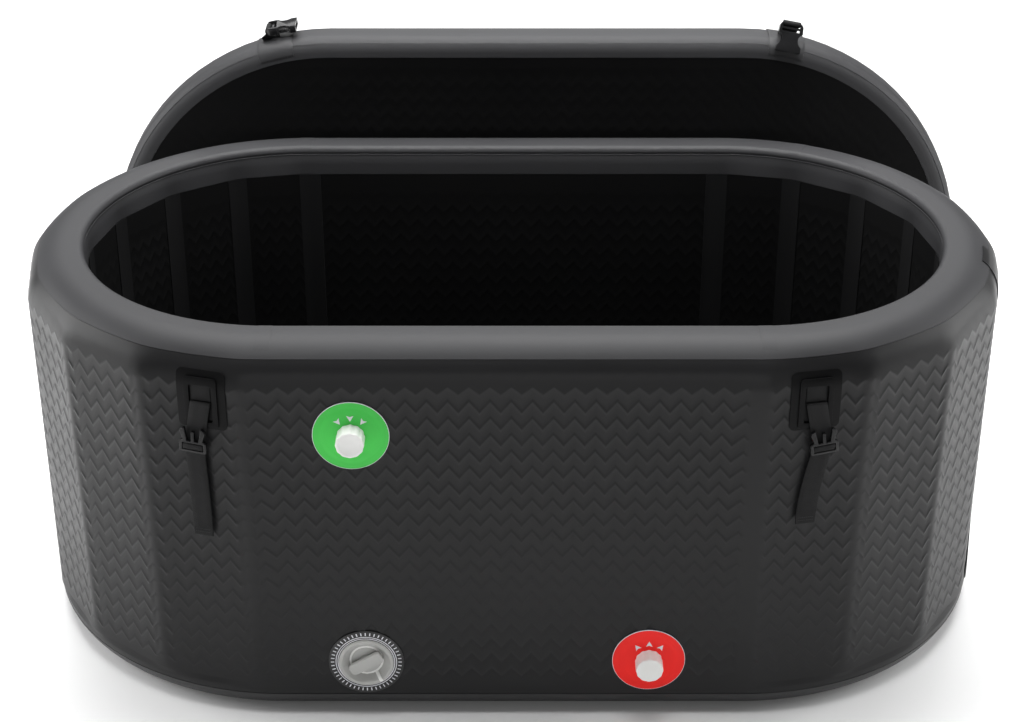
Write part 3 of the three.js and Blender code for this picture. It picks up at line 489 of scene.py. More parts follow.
BUCKLE_BLACK = coated("buckle plastic", grey(0.006), grey(0.012), (0.14, 0.22), 40.0, 1400.0, 0.12, shine=0.28)
SEAL_RUBBER = coated("seal rubber", grey(0.010), grey(0.018), (0.60, 0.75), 40.0, 1200.0, 0.10)
SPRING_STEEL = coated("drawn spring wire", grey(0.55), grey(0.66), (0.22, 0.34), 80.0, 1500.0, 0.05, metal=1.0)
CORE_THREAD = coated("drop-stitch threads", grey(0.30), grey(0.40), (0.80, 0.90), 30.0, 900.0, 0.30)
FLOOR_PALE = coated("pale studio floor", (0.90, 0.90, 0.90), (0.93, 0.93, 0.93), (0.70, 0.80), 1.0, 60.0, 0.02)
STITCH_THREAD = coated("stitch thread", grey(0.020), grey(0.035), (0.60, 0.70), 300.0, 2500.0)
# The webbing's tone follows its ribs: darker in the grooves and lighter on the crests, painted shade and sheen over a
# random cloud.
WEBBING = finish_of(
    "black webbing", grey(0.003), grey(0.009), (0.70, 0.50), WOVEN_RIB_PAINTED_SHADE,
    {"Rib pitch": 0.0016, "Thread pitch": 0.0022}, 0.6, 0.0005, shine=0.20,
)


# Geometry Nodes trees

def node_socket(node, name):
    return next(s for s in node.outputs if s.enabled and s.name == name)


def named_value(tree, name, kind):
    node = tree.nodes.new("GeometryNodeInputNamedAttribute")
    node.data_type = kind
    node.inputs["Name"].default_value = name
    return node_socket(node, "Attribute")


def geometry_tree(name, inputs):
    tree = bpy.data.node_groups.new(name, "GeometryNodeTree")
    for label, kind in inputs:
        tree.interface.new_socket(label, in_out="INPUT", socket_type=kind)
    tree.interface.new_socket("Geometry", in_out="OUTPUT", socket_type="NodeSocketGeometry")
    return tree, tree.nodes.new("NodeGroupInput"), tree.nodes.new("NodeGroupOutput")


def end_tree(tree, given, result, geometry):
    realise = tree.nodes.new("GeometryNodeRealizeInstances")
    paint = tree.nodes.new("GeometryNodeSetMaterial")
    tree.links.new(geometry, realise.inputs["Geometry"])
    tree.links.new(realise.outputs["Geometry"], paint.inputs["Geometry"])
    tree.links.new(given.outputs["Finish"], paint.inputs["Material"])
    tree.links.new(paint.outputs["Geometry"], result.inputs["Geometry"])


def run_tree(piece, tree, values):
    change = piece.modifiers.new("shape", "NODES")
    change.node_group = tree
    for item in tree.interface.items_tree:
        if item.in_out == "INPUT" and item.name in values:
            change[item.identifier] = values[item.name]
    return settle(piece)


def make_zigzag_tree():
    """Presses zig-zag rows into a sheet that carries its own 'run', 'rise', 'strength', 'outward' and 'upward'."""
    tree, given, result = geometry_tree("zigzag_emboss", [
        ("Geometry", "NodeSocketGeometry"),
        ("Row pitch", "NodeSocketFloat"),
        ("Zigzag pitch", "NodeSocketFloat"),
        ("Zigzag rise", "NodeSocketFloat"),
        ("Depth", "NodeSocketFloat"),
        ("Ridge sharpness", "NodeSocketFloat"),
        ("Finish", "NodeSocketMaterial"),
    ])
    run = named_value(tree, "run", "FLOAT")
    rise = named_value(tree, "rise", "FLOAT")
    strength = named_value(tree, "strength", "FLOAT")
    outward = named_value(tree, "outward", "FLOAT_VECTOR")
    upward = named_value(tree, "upward", "FLOAT_VECTOR")
    half = add_math(tree, "MULTIPLY", given.outputs["Zigzag pitch"], 0.5)
    saw = add_math(tree, "DIVIDE", add_math(tree, "PINGPONG", run, half), half)
    centred = add_math(tree, "SUBTRACT", saw, 0.5)
    lift = add_math(tree, "MULTIPLY", centred, add_math(tree, "MULTIPLY", given.outputs["Zigzag rise"], 2))
    turns = add_math(tree, "DIVIDE", rise, given.outputs["Row pitch"])
    wave = add_math(tree, "COSINE", add_math(tree, "MULTIPLY", turns, 2 * math.pi))
    crest = add_math(tree, "MULTIPLY", add_math(tree, "ADD", wave, 1), 0.5)
    ridge = add_math(tree, "POWER", crest, given.outputs["Ridge sharpness"])
    press = add_math(tree, "MULTIPLY", add_math(tree, "SUBTRACT", ridge, 1), given.outputs["Depth"])
    moves = []
    for direction, amount in ((outward, press), (upward, lift)):
        move = tree.nodes.new("ShaderNodeVectorMath")
        move.operation = "SCALE"
        tree.links.new(direction, move.inputs[0])
        tree.links.new(add_math(tree, "MULTIPLY", amount, strength), move.inputs["Scale"])
        moves.append(move.outputs[0])
    offset = tree.nodes.new("ShaderNodeVectorMath")
    tree.links.new(moves[0], offset.inputs[0])
    tree.links.new(moves[1], offset.inputs[1])
    shift = tree.nodes.new("GeometryNodeSetPosition")
    tree.links.new(given.outputs["Geometry"], shift.inputs["Geometry"])
    tree.links.new(offset.outputs[0], shift.inputs["Offset"])
    end_tree(tree, given, result, shift.outputs["Geometry"])
    return tree


def make_row_tree():
    """Sets a small shape on every point of a row, turned by the point's own 'facing'."""
    tree, given, result = geometry_tree("set_in_row", [
        ("Geometry", "NodeSocketGeometry"),
        ("Shape", "NodeSocketObject"),
        ("Finish", "NodeSocketMaterial"),
    ])
    points = tree.nodes.new("GeometryNodeMeshToPoints")
    shape = tree.nodes.new("GeometryNodeObjectInfo")
    place = tree.nodes.new("GeometryNodeInstanceOnPoints")
    tree.links.new(given.outputs["Geometry"], points.inputs["Mesh"])
    tree.links.new(given.outputs["Shape"], shape.inputs["Object"])
    tree.links.new(points.outputs["Points"], place.inputs["Points"])
    tree.links.new(shape.outputs["Geometry"], place.inputs["Instance"])
    tree.links.new(named_value(tree, "facing", "QUATERNION"), place.inputs["Rotation"])
    end_tree(tree, given, result, place.outputs["Instances"])
    return tree


ZIGZAG_TREE = make_zigzag_tree()
ROW_TREE = make_row_tree()


def store(piece, name, kind, values):
    attribute = piece.data.attributes.new(name, kind, "POINT")
    field = {"FLOAT": "value", "FLOAT_VECTOR": "vector", "QUATERNION": "value"}[kind]
    attribute.data.foreach_set(field, np.asarray(values, np.float32).ravel())


def drop_attributes(piece, *names):
    for name in names:
        attribute = piece.data.attributes.get(name)
        if attribute:
            piece.data.attributes.remove(attribute)


def row_of(name, shape, places, finish):
    """Copies of a shape at a list of matrices, made one mesh by the row tree."""
    piece = mesh_object(name, [m.translation for m in places], [])
    store(piece, "facing", "QUATERNION", [tuple(m.to_quaternion()) for m in places])
    run_tree(piece, ROW_TREE, {"Shape": shape, "Finish": finish})
    bpy.data.objects.remove(shape)
    return tidy_normals(piece)


def embossed(piece, finish, depth=EMBOSS_DEPTH):
    run_tree(piece, ZIGZAG_TREE, {
        "Row pitch": ROW_PITCH,
        "Zigzag pitch": ZIGZAG_PITCH,
        "Zigzag rise": ZIGZAG_RISE,
        "Depth": depth,
        "Ridge sharpness": RIDGE_SHARPNESS,
        "Finish": finish,
    })
    drop_attributes(piece, "run", "rise", "strength", "outward", "upward")
    return piece


# Plan of the tub: flat panels joined by softly bent bands

def panel_spread(side):
    """Angle by which the front panel runs round an end, and the step between that end's bends."""
    lead = LEFT_LEAD / TUB_RADIUS if side < 0 else 0.0
    return lead, (math.pi - lead) / PANELS_PER_END


def panel_ends(radius):
    """Start and stop of each flat panel, anticlockwise from the front."""
    straight = HALF_STRAIGHT - BEND_BAND / 2
    over = HALF_STRAIGHT + radius * (panel_spread(-1)[0] - BAND_ANGLE)
    ends = []
    for side, begin in ((1, over), (-1, straight)):
        ends.append([(-side * begin, -side * radius), (side * straight, -side * radius)])
        step = panel_spread(side)[1]
        for k in range(PANELS_PER_END):
            bend = -math.pi / 2 + k * step
            ends.append([
                (side * (HALF_STRAIGHT + radius * math.cos(t)), side * radius * math.sin(t))
                for t in (bend + BAND_ANGLE, bend + step - BAND_ANGLE)
            ])
    return np.array(ends)


def unit(vector):
    return vector / np.linalg.norm(vector)


def panel_outline(radius, pitch, band_steps):
    """Points of the outline, each with its run along its panel, its embossing mask and its bend."""
    panels = panel_ends(radius)
    widths = np.linalg.norm(np.diff(panel_ends(TUB_RADIUS), axis=1)[:, 0], axis=1)
    points, runs, masks, bends = [], [], [], []
    for i, (start, stop) in enumerate(panels):
        half = widths[i] / 2
        inner = np.arange(-math.floor(half / pitch), math.floor(half / pitch) + 1) * pitch
        run = np.concatenate([[-half], inner[np.abs(inner) < half - pitch / 4], [half]])
        points.extend(start + np.outer((run + half) / widths[i], stop - start))
        runs.extend(run)
        masks.extend(np.ones(len(run)))
        bends.extend(np.zeros(len(run), int))
        following = panels[(i + 1) % len(panels)]
        reach = np.linalg.norm(following[0] - stop) * 0.33
        smooth = FRONT_BAND if i == 0 else SMOOTH_BAND
        next_half = widths[(i + 1) % len(panels)] / 2
        handles = [
            stop,
            stop + unit(stop - start) * reach,
            following[0] - unit(following[1] - following[0]) * reach,
            following[0],
        ]
        for t in np.linspace(0, 1, band_steps + 2)[1:-1]:
            weights = [(1 - t) ** 3, 3 * t * (1 - t) ** 2, 3 * t * t * (1 - t), t ** 3]
            points.append(np.dot(weights, handles))
            runs.append(half + t * BEND_BAND if t < 0.5 else (t - 1) * BEND_BAND - next_half)
            masks.append(float(smooth_step(smooth / 2 - EMBOSS_FADE, smooth / 2, abs(t - 0.5) * BEND_BAND)))
            bends.append(i + 1)
    return np.array(points), np.array(runs), np.array(masks), np.array(bends)


class Outline:
    """Stations round the tub that can be read at any inset from its outer face."""

    def __init__(self, pitch, band_steps=6):
        self.outer, self.runs, self.masks, self.bends = panel_outline(TUB_RADIUS, pitch, band_steps)
        self.outer[:, 1] = np.minimum(self.outer[:, 1], TUB_RADIUS)
        self.inner = panel_outline(TUB_RADIUS - WALL, pitch, band_steps)[0]
        ahead = np.roll(self.outer, -1, 0) - np.roll(self.outer, 1, 0)
        ahead /= np.linalg.norm(ahead, axis=1)[:, None]
        self.normals = np.stack([ahead[:, 1], -ahead[:, 0]], 1)
        self.count = len(self.outer)

    def at(self, inset):
        return self.outer + (self.inner - self.outer) * (inset / WALL)

    def smooth(self, inset):
        middle = np.clip(self.outer[:, 0], -HALF_STRAIGHT, HALF_STRAIGHT)
        middle = np.column_stack([middle, np.zeros(self.count)])
        away = self.outer - middle
        away /= np.linalg.norm(away, axis=1)[:, None]
        return middle + away * (TUB_RADIUS - inset)

    def ring(self, inset, height, roundness=0.0):
        """Ring of points at an inset, from the panelled plan (0) to the round one (1)."""
        flat = self.at(inset)
        place = flat + (self.smooth(inset) - flat) * roundness
        return np.column_stack([place, np.full(self.count, height)])


WALL_OUTLINE = Outline(pitch=ZIGZAG_PITCH / 2, band_steps=9)
PLAIN_OUTLINE = Outline(pitch=0.020)


def swept(name, profile, outline):
    """Closed ring with the given section of (inset, height) or (inset, height, roundness) points."""
    rings = np.concatenate([outline.ring(*point) for point in profile])
    piece = mesh_object(name, rings, grid_faces(len(profile), outline.count, True, True))
    return tidy_normals(piece)


def rim_outer(depth, start, stop, steps):
    return arc((RIM_OUTER, TUB_HEIGHT - RIM_OUTER), RIM_OUTER - depth, start, stop, steps)


def rim_roundness(angle):
    """How far the rim's plan has gone from panelled (0) to round (1) at an angle of its section."""
    return float(smooth_step(0, RIM_SEAM_ANGLE + RIM_ROUNDING, math.pi - angle))


def rim_inner(depth, start, stop, steps):
    return arc((RIM_OUTER, TUB_HEIGHT - RIM_INNER), RIM_INNER - depth, start, stop, steps)


def base_roundness(height):
    """How round the wall's plan is near its foot."""
    return 1 - float(smooth_step(BASE_SEAM, BASE_FLATTEN, height))


def base_curve(depth, start, stop, steps):
    return arc((BASE_ROUND, BASE_ROUND), BASE_ROUND - depth, start, stop, steps)


BASE_SEAM_ANGLE = math.asin((BASE_ROUND - BASE_SEAM) / BASE_ROUND)


def emboss_rows(low, high, phases=ROW_PHASES):
    """Heights of the mesh rows, close together along the ridges."""
    rows = np.add.outer(np.arange(math.ceil(high / ROW_PITCH)), phases).ravel() * ROW_PITCH
    return rows[(rows > low) & (rows < high)]


def embossed_wall(name, sections, outline, outward, finish, low, high, depth=EMBOSS_DEPTH):
    """Ring whose sections are (inset, height, roundness, rise, lean, embossed?), pressed with zig-zag rows."""
    rings = np.concatenate([outline.ring(*section[:3]) for section in sections])
    piece = mesh_object(name, rings, grid_faces(len(sections), outline.count, True, True))
    rises, leans, pressed = (np.array(column, float) for column in list(zip(*sections))[3:])
    fade = pressed * smooth_step(low, low + 0.03, rises) * (1 - smooth_step(high - 0.06, high, rises))
    level = np.column_stack([outline.normals, np.zeros(outline.count)])
    upright = np.array((0, 0, 1))
    away = [(level * math.cos(lean) + upright * math.sin(lean)) * outward for lean in leans]
    along = [upright * math.cos(lean) - level * math.sin(lean) for lean in leans]
    store(piece, "run", "FLOAT", np.tile(outline.runs, len(sections)))
    store(piece, "rise", "FLOAT", np.repeat(rises, outline.count))
    store(piece, "strength", "FLOAT", np.outer(fade, outline.masks))
    store(piece, "outward", "FLOAT_VECTOR", np.concatenate(away))
    store(piece, "upward", "FLOAT_VECTOR", np.concatenate(along))
    embossed(piece, finish, depth)
    return tidy_normals(piece)


def make_outer_wall():
    shoulder = TUB_HEIGHT - RIM_OUTER
    rows = [*emboss_rows(BASE_ROUND + 0.004, shoulder + RIM_OUTER * RIM_SEAM_ANGLE - 0.002)]
    low = base_curve(0, math.pi + BASE_SEAM_ANGLE, math.pi, 4)
    front = [(u, z, base_roundness(z), z, 0.0, 1) for u, z in low]
    for rise in [*rows, shoulder + RIM_OUTER * RIM_SEAM_ANGLE]:
        lean = max(0.0, rise - shoulder) / RIM_OUTER
        inset, height = rim_outer(0, math.pi - lean, math.pi - lean, 1)[0]
        roundness = max(base_roundness(height), rim_roundness(math.pi - lean))
        front.append((inset, min(height, rise), roundness, rise, lean, 1))
    back = [
        *rim_outer(SKIN, math.pi - RIM_SEAM_ANGLE, math.pi, 8),
        *base_curve(SKIN, math.pi, math.pi + BASE_SEAM_ANGLE, 4),
    ]
    sections = front + [(u, z, 0.0, z, 0.0, 0) for u, z in back]
    wall = embossed_wall("outer_wall", sections, WALL_OUTLINE, 1, WALL_PVC, EMBOSS_LOW, EMBOSS_HIGH)
    for (x, z), radius in ((INLET, SPIGOT_RADIUS), (OUTLET, SPIGOT_RADIUS), (VALVE, VALVE_BARREL)):
        cut(wall, cylinder(radius + GAP, -WALL / 2, WALL / 2, wall_place(x, z)))
    dress(wall, WALL_PVC, "tub", "wall_pvc", "outer_wall_skin", angle=math.radians(60))


def make_inner_wall():
    top = TUB_HEIGHT - RIM_DROP - GAP
    foot = SKIN + GAP
    rows = [foot, *emboss_rows(foot + 0.004, top - 0.004, INNER_PHASES), top]
    sections = [(WALL, z, 0.0, z, 0.0, 1) for z in rows]
    sections += [(WALL - SKIN, z, 0.0, z, 0.0, 0) for z in (top, foot)]
    wall = embossed_wall("inner_wall", sections, WALL_OUTLINE, -1, INNER_PVC, 0.05, top - 0.01, INNER_EMBOSS)
    for x, z in (INLET, OUTLET):
        cut(wall, cylinder(SPIGOT_RADIUS + GAP, -2 * WALL, 0, wall_place(x, z)))
    dress(wall, INNER_PVC, "tub", "inner_pvc", "inner_wall_skin", angle=math.radians(60))


make_outer_wall()
make_inner_wall()


def rim_section(depth):
    """Section of the rim tape from its outer seam to its inner edge, with how round its plan is."""
    start = math.pi - RIM_SEAM_ANGLE - GAP / RIM_OUTER
    outside = [
        (u, z, rim_roundness(a))
        for (u, z), a in zip(rim_outer(depth, start, math.pi / 2, 10), np.linspace(start, math.pi / 2, 11))
    ]
    inside = [*rim_inner(depth, math.pi / 2, 0, 10)[1:], (WALL - depth, TUB_HEIGHT - RIM_DROP)]
    ease = 1 - smooth_step(0.5, 1, np.linspace(0, 1, len(inside)))
    return outside + [(u, z, float(e)) for (u, z), e in zip(inside, ease)]


def rim_top(proud):
    """Visible top of the rim tape, from its outer seam to where it turns down into the well."""
    start = math.pi - RIM_SEAM_ANGLE - GAP / RIM_OUTER
    outside = [
        (*rim_outer(-proud, a, a, 1)[0], rim_roundness(a)) for a in np.linspace(start, math.pi / 2, 11)
    ]
    lip = arc((WALL - LIP_ROUND, TUB_HEIGHT - LIP_ROUND), LIP_ROUND + proud, math.pi / 2, 0, 8)
    return outside + [(u, z, 1.0) for u, z in lip]


def rim_inside():
    """Welded bead and plain hem under the rim's lip."""
    low = TUB_HEIGHT - RIM_DROP
    bead = arc((WALL - LIP_BEAD / 2, TUB_HEIGHT - LIP_ROUND - 3 * LIP_BEAD), LIP_BEAD, math.pi / 2, -math.pi / 2, 6)
    hem = [(WALL, bead[-1][1] - LIP_BEAD), (WALL + 0.0004, (bead[-1][1] + low) / 2), (WALL, low)]
    return [(u, z, 1.0) for u, z in bead] + [(u, z, r) for (u, z), r in zip(hem, (1.0, 0.5, 0.0))]


def base_section(depth, proud):
    start = math.pi + BASE_SEAM_ANGLE + GAP / BASE_ROUND
    ease = 1 - smooth_step(0, 0.5, np.linspace(0, 1, 11))
    curve = [
        (*base_curve(depth - proud * e, a, a, 1)[0], 1.0)
        for a, e in zip(np.linspace(start, 3 * math.pi / 2, 11), ease)
    ]
    return [*curve, (BASE_LAP, depth, 0.0)]


def make_tapes():
    face = rim_top(SEAM_PROUD) + rim_inside()
    rim = swept("rim_tape_smooth", face + rim_section(SKIN)[::-1], PLAIN_OUTLINE)
    dress(rim, RIM_TAPE_PVC_PAINTED_REFLECTION, "tub", "tape_pvc", "rim_tape")
    base = swept("base_tape_smooth", base_section(0, SEAM_PROUD) + base_section(SKIN, 0)[::-1], PLAIN_OUTLINE)
    dress(base, FOOT_PVC, "tub", "tape_pvc", "base_tape")


def make_floor_sheet():
    edge = PLAIN_OUTLINE.at(BASE_LAP + GAP)
    count = len(edge)
    vertices = [(x, y, z) for z in (0, SKIN) for x, y in edge]
    sides = [(i, (i + 1) % count, count + (i + 1) % count, count + i) for i in range(count)]
    caps = [tuple(range(count))[::-1], tuple(range(count, 2 * count))]
    sheet = tidy_normals(mesh_object("floor_sheet_plain", vertices, sides + caps))
    dress(sheet, INNER_PVC, "tub", "inner_pvc", "floor_sheet")


def strip(name, rings):
    """Closed band: each row of points is one line of its section along the band."""
    rings = np.asarray(rings, float)
    rows, columns = rings.shape[:2]
    faces = grid_faces(rows, columns, True, False)
    faces.append(tuple(i * columns for i in range(rows)))
    faces.append(tuple(i * columns + columns - 1 for i in range(rows))[::-1])
    return tidy_normals(mesh_object(name, rings.reshape(-1, 3), faces))


def end_line(panel, shares, inset, height, roundness):
    """Points across one flat panel of the right end, drawn towards the round plan."""
    start, stop = panel_ends(TUB_RADIUS)[panel]
    first, last = panel_ends(TUB_RADIUS - WALL)[panel]
    line = []
    for share in shares:
        outer = start + (stop - start) * share
        inner = first + (last - first) * share
        flat = outer + (inner - outer) * inset / WALL
        away = unit(outer - (HALF_STRAIGHT, 0))
        smooth = np.array((HALF_STRAIGHT, 0)) + away * (TUB_RADIUS - inset)
        line.append((*(flat + (smooth - flat) * roundness), height))
    return line


def make_closing_strip():
    panel = 1 + STRIP_PANEL
    start, stop = panel_ends(TUB_RADIUS)[panel]
    share = STRIP_WIDTH / np.linalg.norm(stop - start) / 2
    across = np.linspace(0.5 - share, 0.5 + share, 9)
    seam = math.pi - RIM_SEAM_ANGLE

    def section(depth):
        fold = np.linspace(seam, seam - STRIP_FOLD, 6)[1:]
        low = base_curve(depth, math.pi + BASE_SEAM_ANGLE / 2, math.pi, 3)
        low += [(depth, z) for z in np.linspace(low[-1][1], BASE_FLATTEN, 8)[1:]]
        high = [(rim_outer(depth, a, a, 1)[0], a) for a in np.linspace(math.pi, seam, 9)]
        high += [(rim_outer(depth - SEAM_PROUD, a, a, 1)[0], a) for a in fold]
        return [(u, z, base_roundness(z)) for u, z in low] + [(u, z, rim_roundness(a)) for (u, z), a in high]

    outline = section(-GAP - STRIP_THICKNESS) + section(-GAP)[::-1]
    band = strip("closing_strip", [end_line(panel, across, u, z, r) for u, z, r in outline])
    dress(band, WALL_PVC, "tub", "tape_pvc", "closing_seam_strip")


def make_rim_joints():
    """Laps where lengths of rim tape meet, each sinking into the tape at its ends."""
    upper, lower = (np.array(rim_top(proud)[2:-3]) for proud in (SEAM_PROUD + RIM_LAP_THICKNESS, SEAM_PROUD / 2))
    sunk = 1 - np.sin(np.linspace(0, math.pi, len(upper))) ** 0.5
    upper += (lower - upper) * (0.95 * sunk)[:, None]
    section = [*upper, *lower[::-1]]
    for number, (middle, back) in enumerate(RIM_JOINTS):
        along = np.linspace(middle - RIM_LAP / 2, middle + RIM_LAP / 2, 7)
        rings = []
        for inset, height, _ in section:
            line = []
            for run in along:
                turn = max(0.0, abs(run) - HALF_STRAIGHT) / TUB_RADIUS
                x = math.copysign(min(abs(run), HALF_STRAIGHT) + (TUB_RADIUS - inset) * math.sin(turn), run)
                line.append((x, back * (TUB_RADIUS - inset) * math.cos(turn), height))
            rings.append(line)
        dress(strip(f"rim_joint_{number + 1}", rings), RIM_TAPE_PVC_PAINTED_REFLECTION, "tub", "tape_pvc")


def make_bend_strips():
    """Smooth strips welded down the inside of each bend of the well."""
    top = TUB_HEIGHT - RIM_DROP - 0.001
    outline = PLAIN_OUTLINE
    for number in range(1, outline.bends.max() + 1):
        band = np.flatnonzero(outline.bends == number)
        run = np.arange(band[0] - 1, band[-1] + 2) % outline.count
        section = [(WALL + BEND_STRIP, 0.004), (WALL + BEND_STRIP, top), (WALL + 0.0001, top), (WALL + 0.0001, 0.004)]
        rings = [outline.ring(inset, height)[run] for inset, height in section]
        dress(strip(f"inner_bend_strip_{number}", rings), STRIP_PVC, "tub", "inner_pvc")


make_tapes()
make_floor_sheet()
make_closing_strip()
make_rim_joints()
make_bend_strips()


# Lid, standing on its rear edge behind the tub

def lid_point(x, y, z):
    return Vector((x + LID_SHIFT, z + LID_FRONT, LID_RADIUS - y))


def lid_direction(vector):
    return Vector((vector.x, vector.z, -vector.y))


def lid_stations(per_end=40, per_side=10):
    """Centre and angle of each station round the lid."""
    right = [(LID_HALF, a) for a in np.linspace(-math.pi / 2, math.pi / 2, per_end + 1)]
    left = [(-LID_HALF, a + math.pi) for _, a in right]
    sides = np.linspace(-LID_HALF, LID_HALF, per_side + 1)[1:-1]
    return [
        *right,
        *[(x, math.pi / 2) for x in sides[::-1]],
        *left,
        *[(x, -math.pi / 2) for x in sides],
    ]


def lid_line(stations, inset, z):
    reach = LID_RADIUS - inset
    return [lid_point(x + reach * math.cos(a), reach * math.sin(a), z) for x, a in stations]


def lid_edge(depth, steps=10):
    top = LID_THICKNESS - LID_ROUND
    return [
        *arc((LID_ROUND, LID_ROUND), LID_ROUND - depth, 3 * math.pi / 2, math.pi, steps),
        *arc((LID_ROUND, top), LID_ROUND - depth, math.pi, math.pi / 2, steps),
    ]


def make_lid_tape():
    def around(edge, depth):
        return [(LID_LAP, depth), *edge, (LID_LAP, LID_THICKNESS - depth)]

    centre = (LID_ROUND, LID_ROUND)
    before, after = LID_SEAM + LID_SEAM_WIDTH / LID_ROUND, LID_SEAM - LID_SEAM_WIDTH / LID_ROUND
    seamed = [
        *arc(centre, LID_ROUND, 3 * math.pi / 2, before, 5),
        *arc(centre, LID_ROUND - LID_SEAM_DEPTH, before, after, 2),
        *arc(centre, LID_ROUND, after, math.pi, 6),
        *lid_edge(0)[11:],
    ]
    section = around(seamed, 0) + around(lid_edge(LID_SKIN), LID_SKIN)[::-1]
    stations = lid_stations()
    points = [p for inset, z in section for p in lid_line(stations, inset, z)]
    tape = mesh_object("lid_edge_smooth", points, grid_faces(len(section), len(stations), True, True))
    dress(tidy_normals(tape), LID_EDGE_PVC_PAINTED_REFLECTION, "lid", "tape_pvc", "lid_edge_tape")


def oval_sheet(name, front, back, outward, finish):
    """Flat oval face of the lid, pressed with zig-zag rows."""
    reach = LID_RADIUS - LID_LAP - GAP
    across, up = ZIGZAG_PITCH / 4, ROW_PITCH / 4
    columns = np.arange(-math.ceil((LID_HALF + reach) / across), math.ceil((LID_HALF + reach) / across) + 1) * across
    rows = np.arange(-math.ceil(reach / up), math.ceil(reach / up) + 1) * up
    x, y = (a.ravel() for a in np.meshgrid(columns, rows))
    middle = np.clip(x, -LID_HALF, LID_HALF)
    away = np.hypot(x - middle, y)
    outside = away > reach
    pull = np.where(outside, reach / np.maximum(away, 1e-9), 1)
    x, y = middle + (x - middle) * pull, y * pull
    faces = [f for f in grid_faces(len(rows), len(columns)) if not all(outside[i] for i in f)]
    used = sorted({i for f in faces for i in f})
    index = {old: new for new, old in enumerate(used)}
    x, y, room = x[used], y[used], reach - np.minimum(away, reach)[used]
    count = len(used)
    faces = [tuple(index[i] for i in f) for f in faces]
    links = {}
    for f in faces:
        for a, b in zip(f, f[1:] + f[:1]):
            links[(a, b)] = True
    border = [(a, b) for a, b in links if (b, a) not in links]
    sides = [(b, a, a + count, b + count) for a, b in border]
    under = [tuple(i + count for i in f)[::-1] for f in faces]
    vertices = [lid_point(a, b, z) for z in (front, back) for a, b in zip(x, y)]
    piece = mesh_object(name, vertices, faces + under + sides)
    strength = np.concatenate([smooth_step(0.004, 0.035, room), np.zeros(count)])
    store(piece, "run", "FLOAT", np.tile(x, 2))
    store(piece, "rise", "FLOAT", np.tile(LID_RADIUS - y, 2))
    store(piece, "strength", "FLOAT", strength)
    store(piece, "outward", "FLOAT_VECTOR", np.tile((0, outward, 0), (2 * count, 1)))
    store(piece, "upward", "FLOAT_VECTOR", np.tile((0, 0, 1), (2 * count, 1)))
    embossed(piece, finish, LID_EMBOSS)
    return tidy_normals(piece)


def make_lid_faces():
    under = oval_sheet("lid_underside", LID_RECESS, LID_SKIN + LID_RECESS, -1, LID_DARK_PVC)
    dress(under, LID_DARK_PVC, "lid", "inner_pvc", "lid_underside_skin", angle=math.radians(60))
    top = LID_THICKNESS - LID_RECESS
    outer = oval_sheet("lid_outer", top, top - LID_SKIN, 1, WALL_PVC)
    cut(outer, cylinder(VALVE_BARREL + GAP, -0.02, 0.02, LID_VALVE_PLACE))
    dress(outer, WALL_PVC, "lid", "wall_pvc", "lid_outer_skin", angle=math.radians(60))


def lid_strap_angle(side):
    return BEND_STEP / 2 + (LID_LEFT_SHIFT / LID_RADIUS if side < 0 else 0)


def make_lid_patch(name, side):
    middle = -math.pi / 2 + side * lid_strap_angle(side)
    spread = LID_PATCH / 2 / LID_RADIUS
    stations = []
    for a in np.linspace(middle - spread, middle + spread, 13):
        turned_past = (a + math.pi / 2) * side
        if turned_past >= 0:
            stations.append((side * LID_HALF, a))
        else:
            stations.append((side * (LID_HALF + turned_past * LID_RADIUS), -math.pi / 2))
    section = lid_edge(-GAP - LID_PATCH_THICKNESS) + lid_edge(-GAP)[::-1]
    patch = strip(f"lid_{name}_saddle", [lid_line(stations, inset, z) for inset, z in section])
    bevelled(patch, 0.0004, 2)
    dress(patch, LID_PATCH_PVC_PAINTED_REFLECTION, "lid", "tape_pvc", f"lid_{name}_strap_patch")


LID_VALVE_PLACE = Matrix.Translation((LID_SHIFT, LID_FRONT + LID_THICKNESS, LID_VALVE_HEIGHT)) @ Matrix(
    ((1, 0, 0), (0, 0, -1), (0, 1, 0))
).transposed().to_4x4()

make_lid_tape()
make_lid_faces()
make_lid_patch("left", -1)
make_lid_patch("right", 1)

# Water ports

def fluted(name, outline, place, flutes, depth, segments=96):
    """Turned solid whose marked (radius, height, fluted?) points dip between the ribs of its grip."""
    rings = []
    for a in np.linspace(0, 2 * math.pi, segments, endpoint=False):
        dip = depth / 2 * (1 - math.cos(a * flutes))
        for r, h, mark in outline:
            rings.append(place @ Vector(((r - dip * mark) * math.cos(a), (r - dip * mark) * math.sin(a), h)))
    piece = mesh_object(name, rings, grid_faces(segments, len(outline), True, True))
    return tidy_normals(piece)


def flat_shape(name, outline, thickness):
    """Small plate with the given outline, lying on the XY plane."""
    count = len(outline)
    vertices = [(x, y, z) for z in (0, thickness) for x, y in outline]
    sides = [(i, (i + 1) % count, count + (i + 1) % count, count + i) for i in range(count)]
    caps = [tuple(range(count))[::-1], tuple(range(count, 2 * count))]
    return tidy_normals(mesh_object(name, vertices, sides + caps))


def polar_places(place, radius, height, angles, turn=0.0):
    """Frames round a circle, each with its own Y pointing away from the middle."""
    return [
        place
        @ Matrix.Rotation(a - math.pi / 2, 4, "Z")
        @ Matrix.Translation((0, radius, height))
        @ Matrix.Rotation(turn, 4, "Z")
        for a in angles
    ]


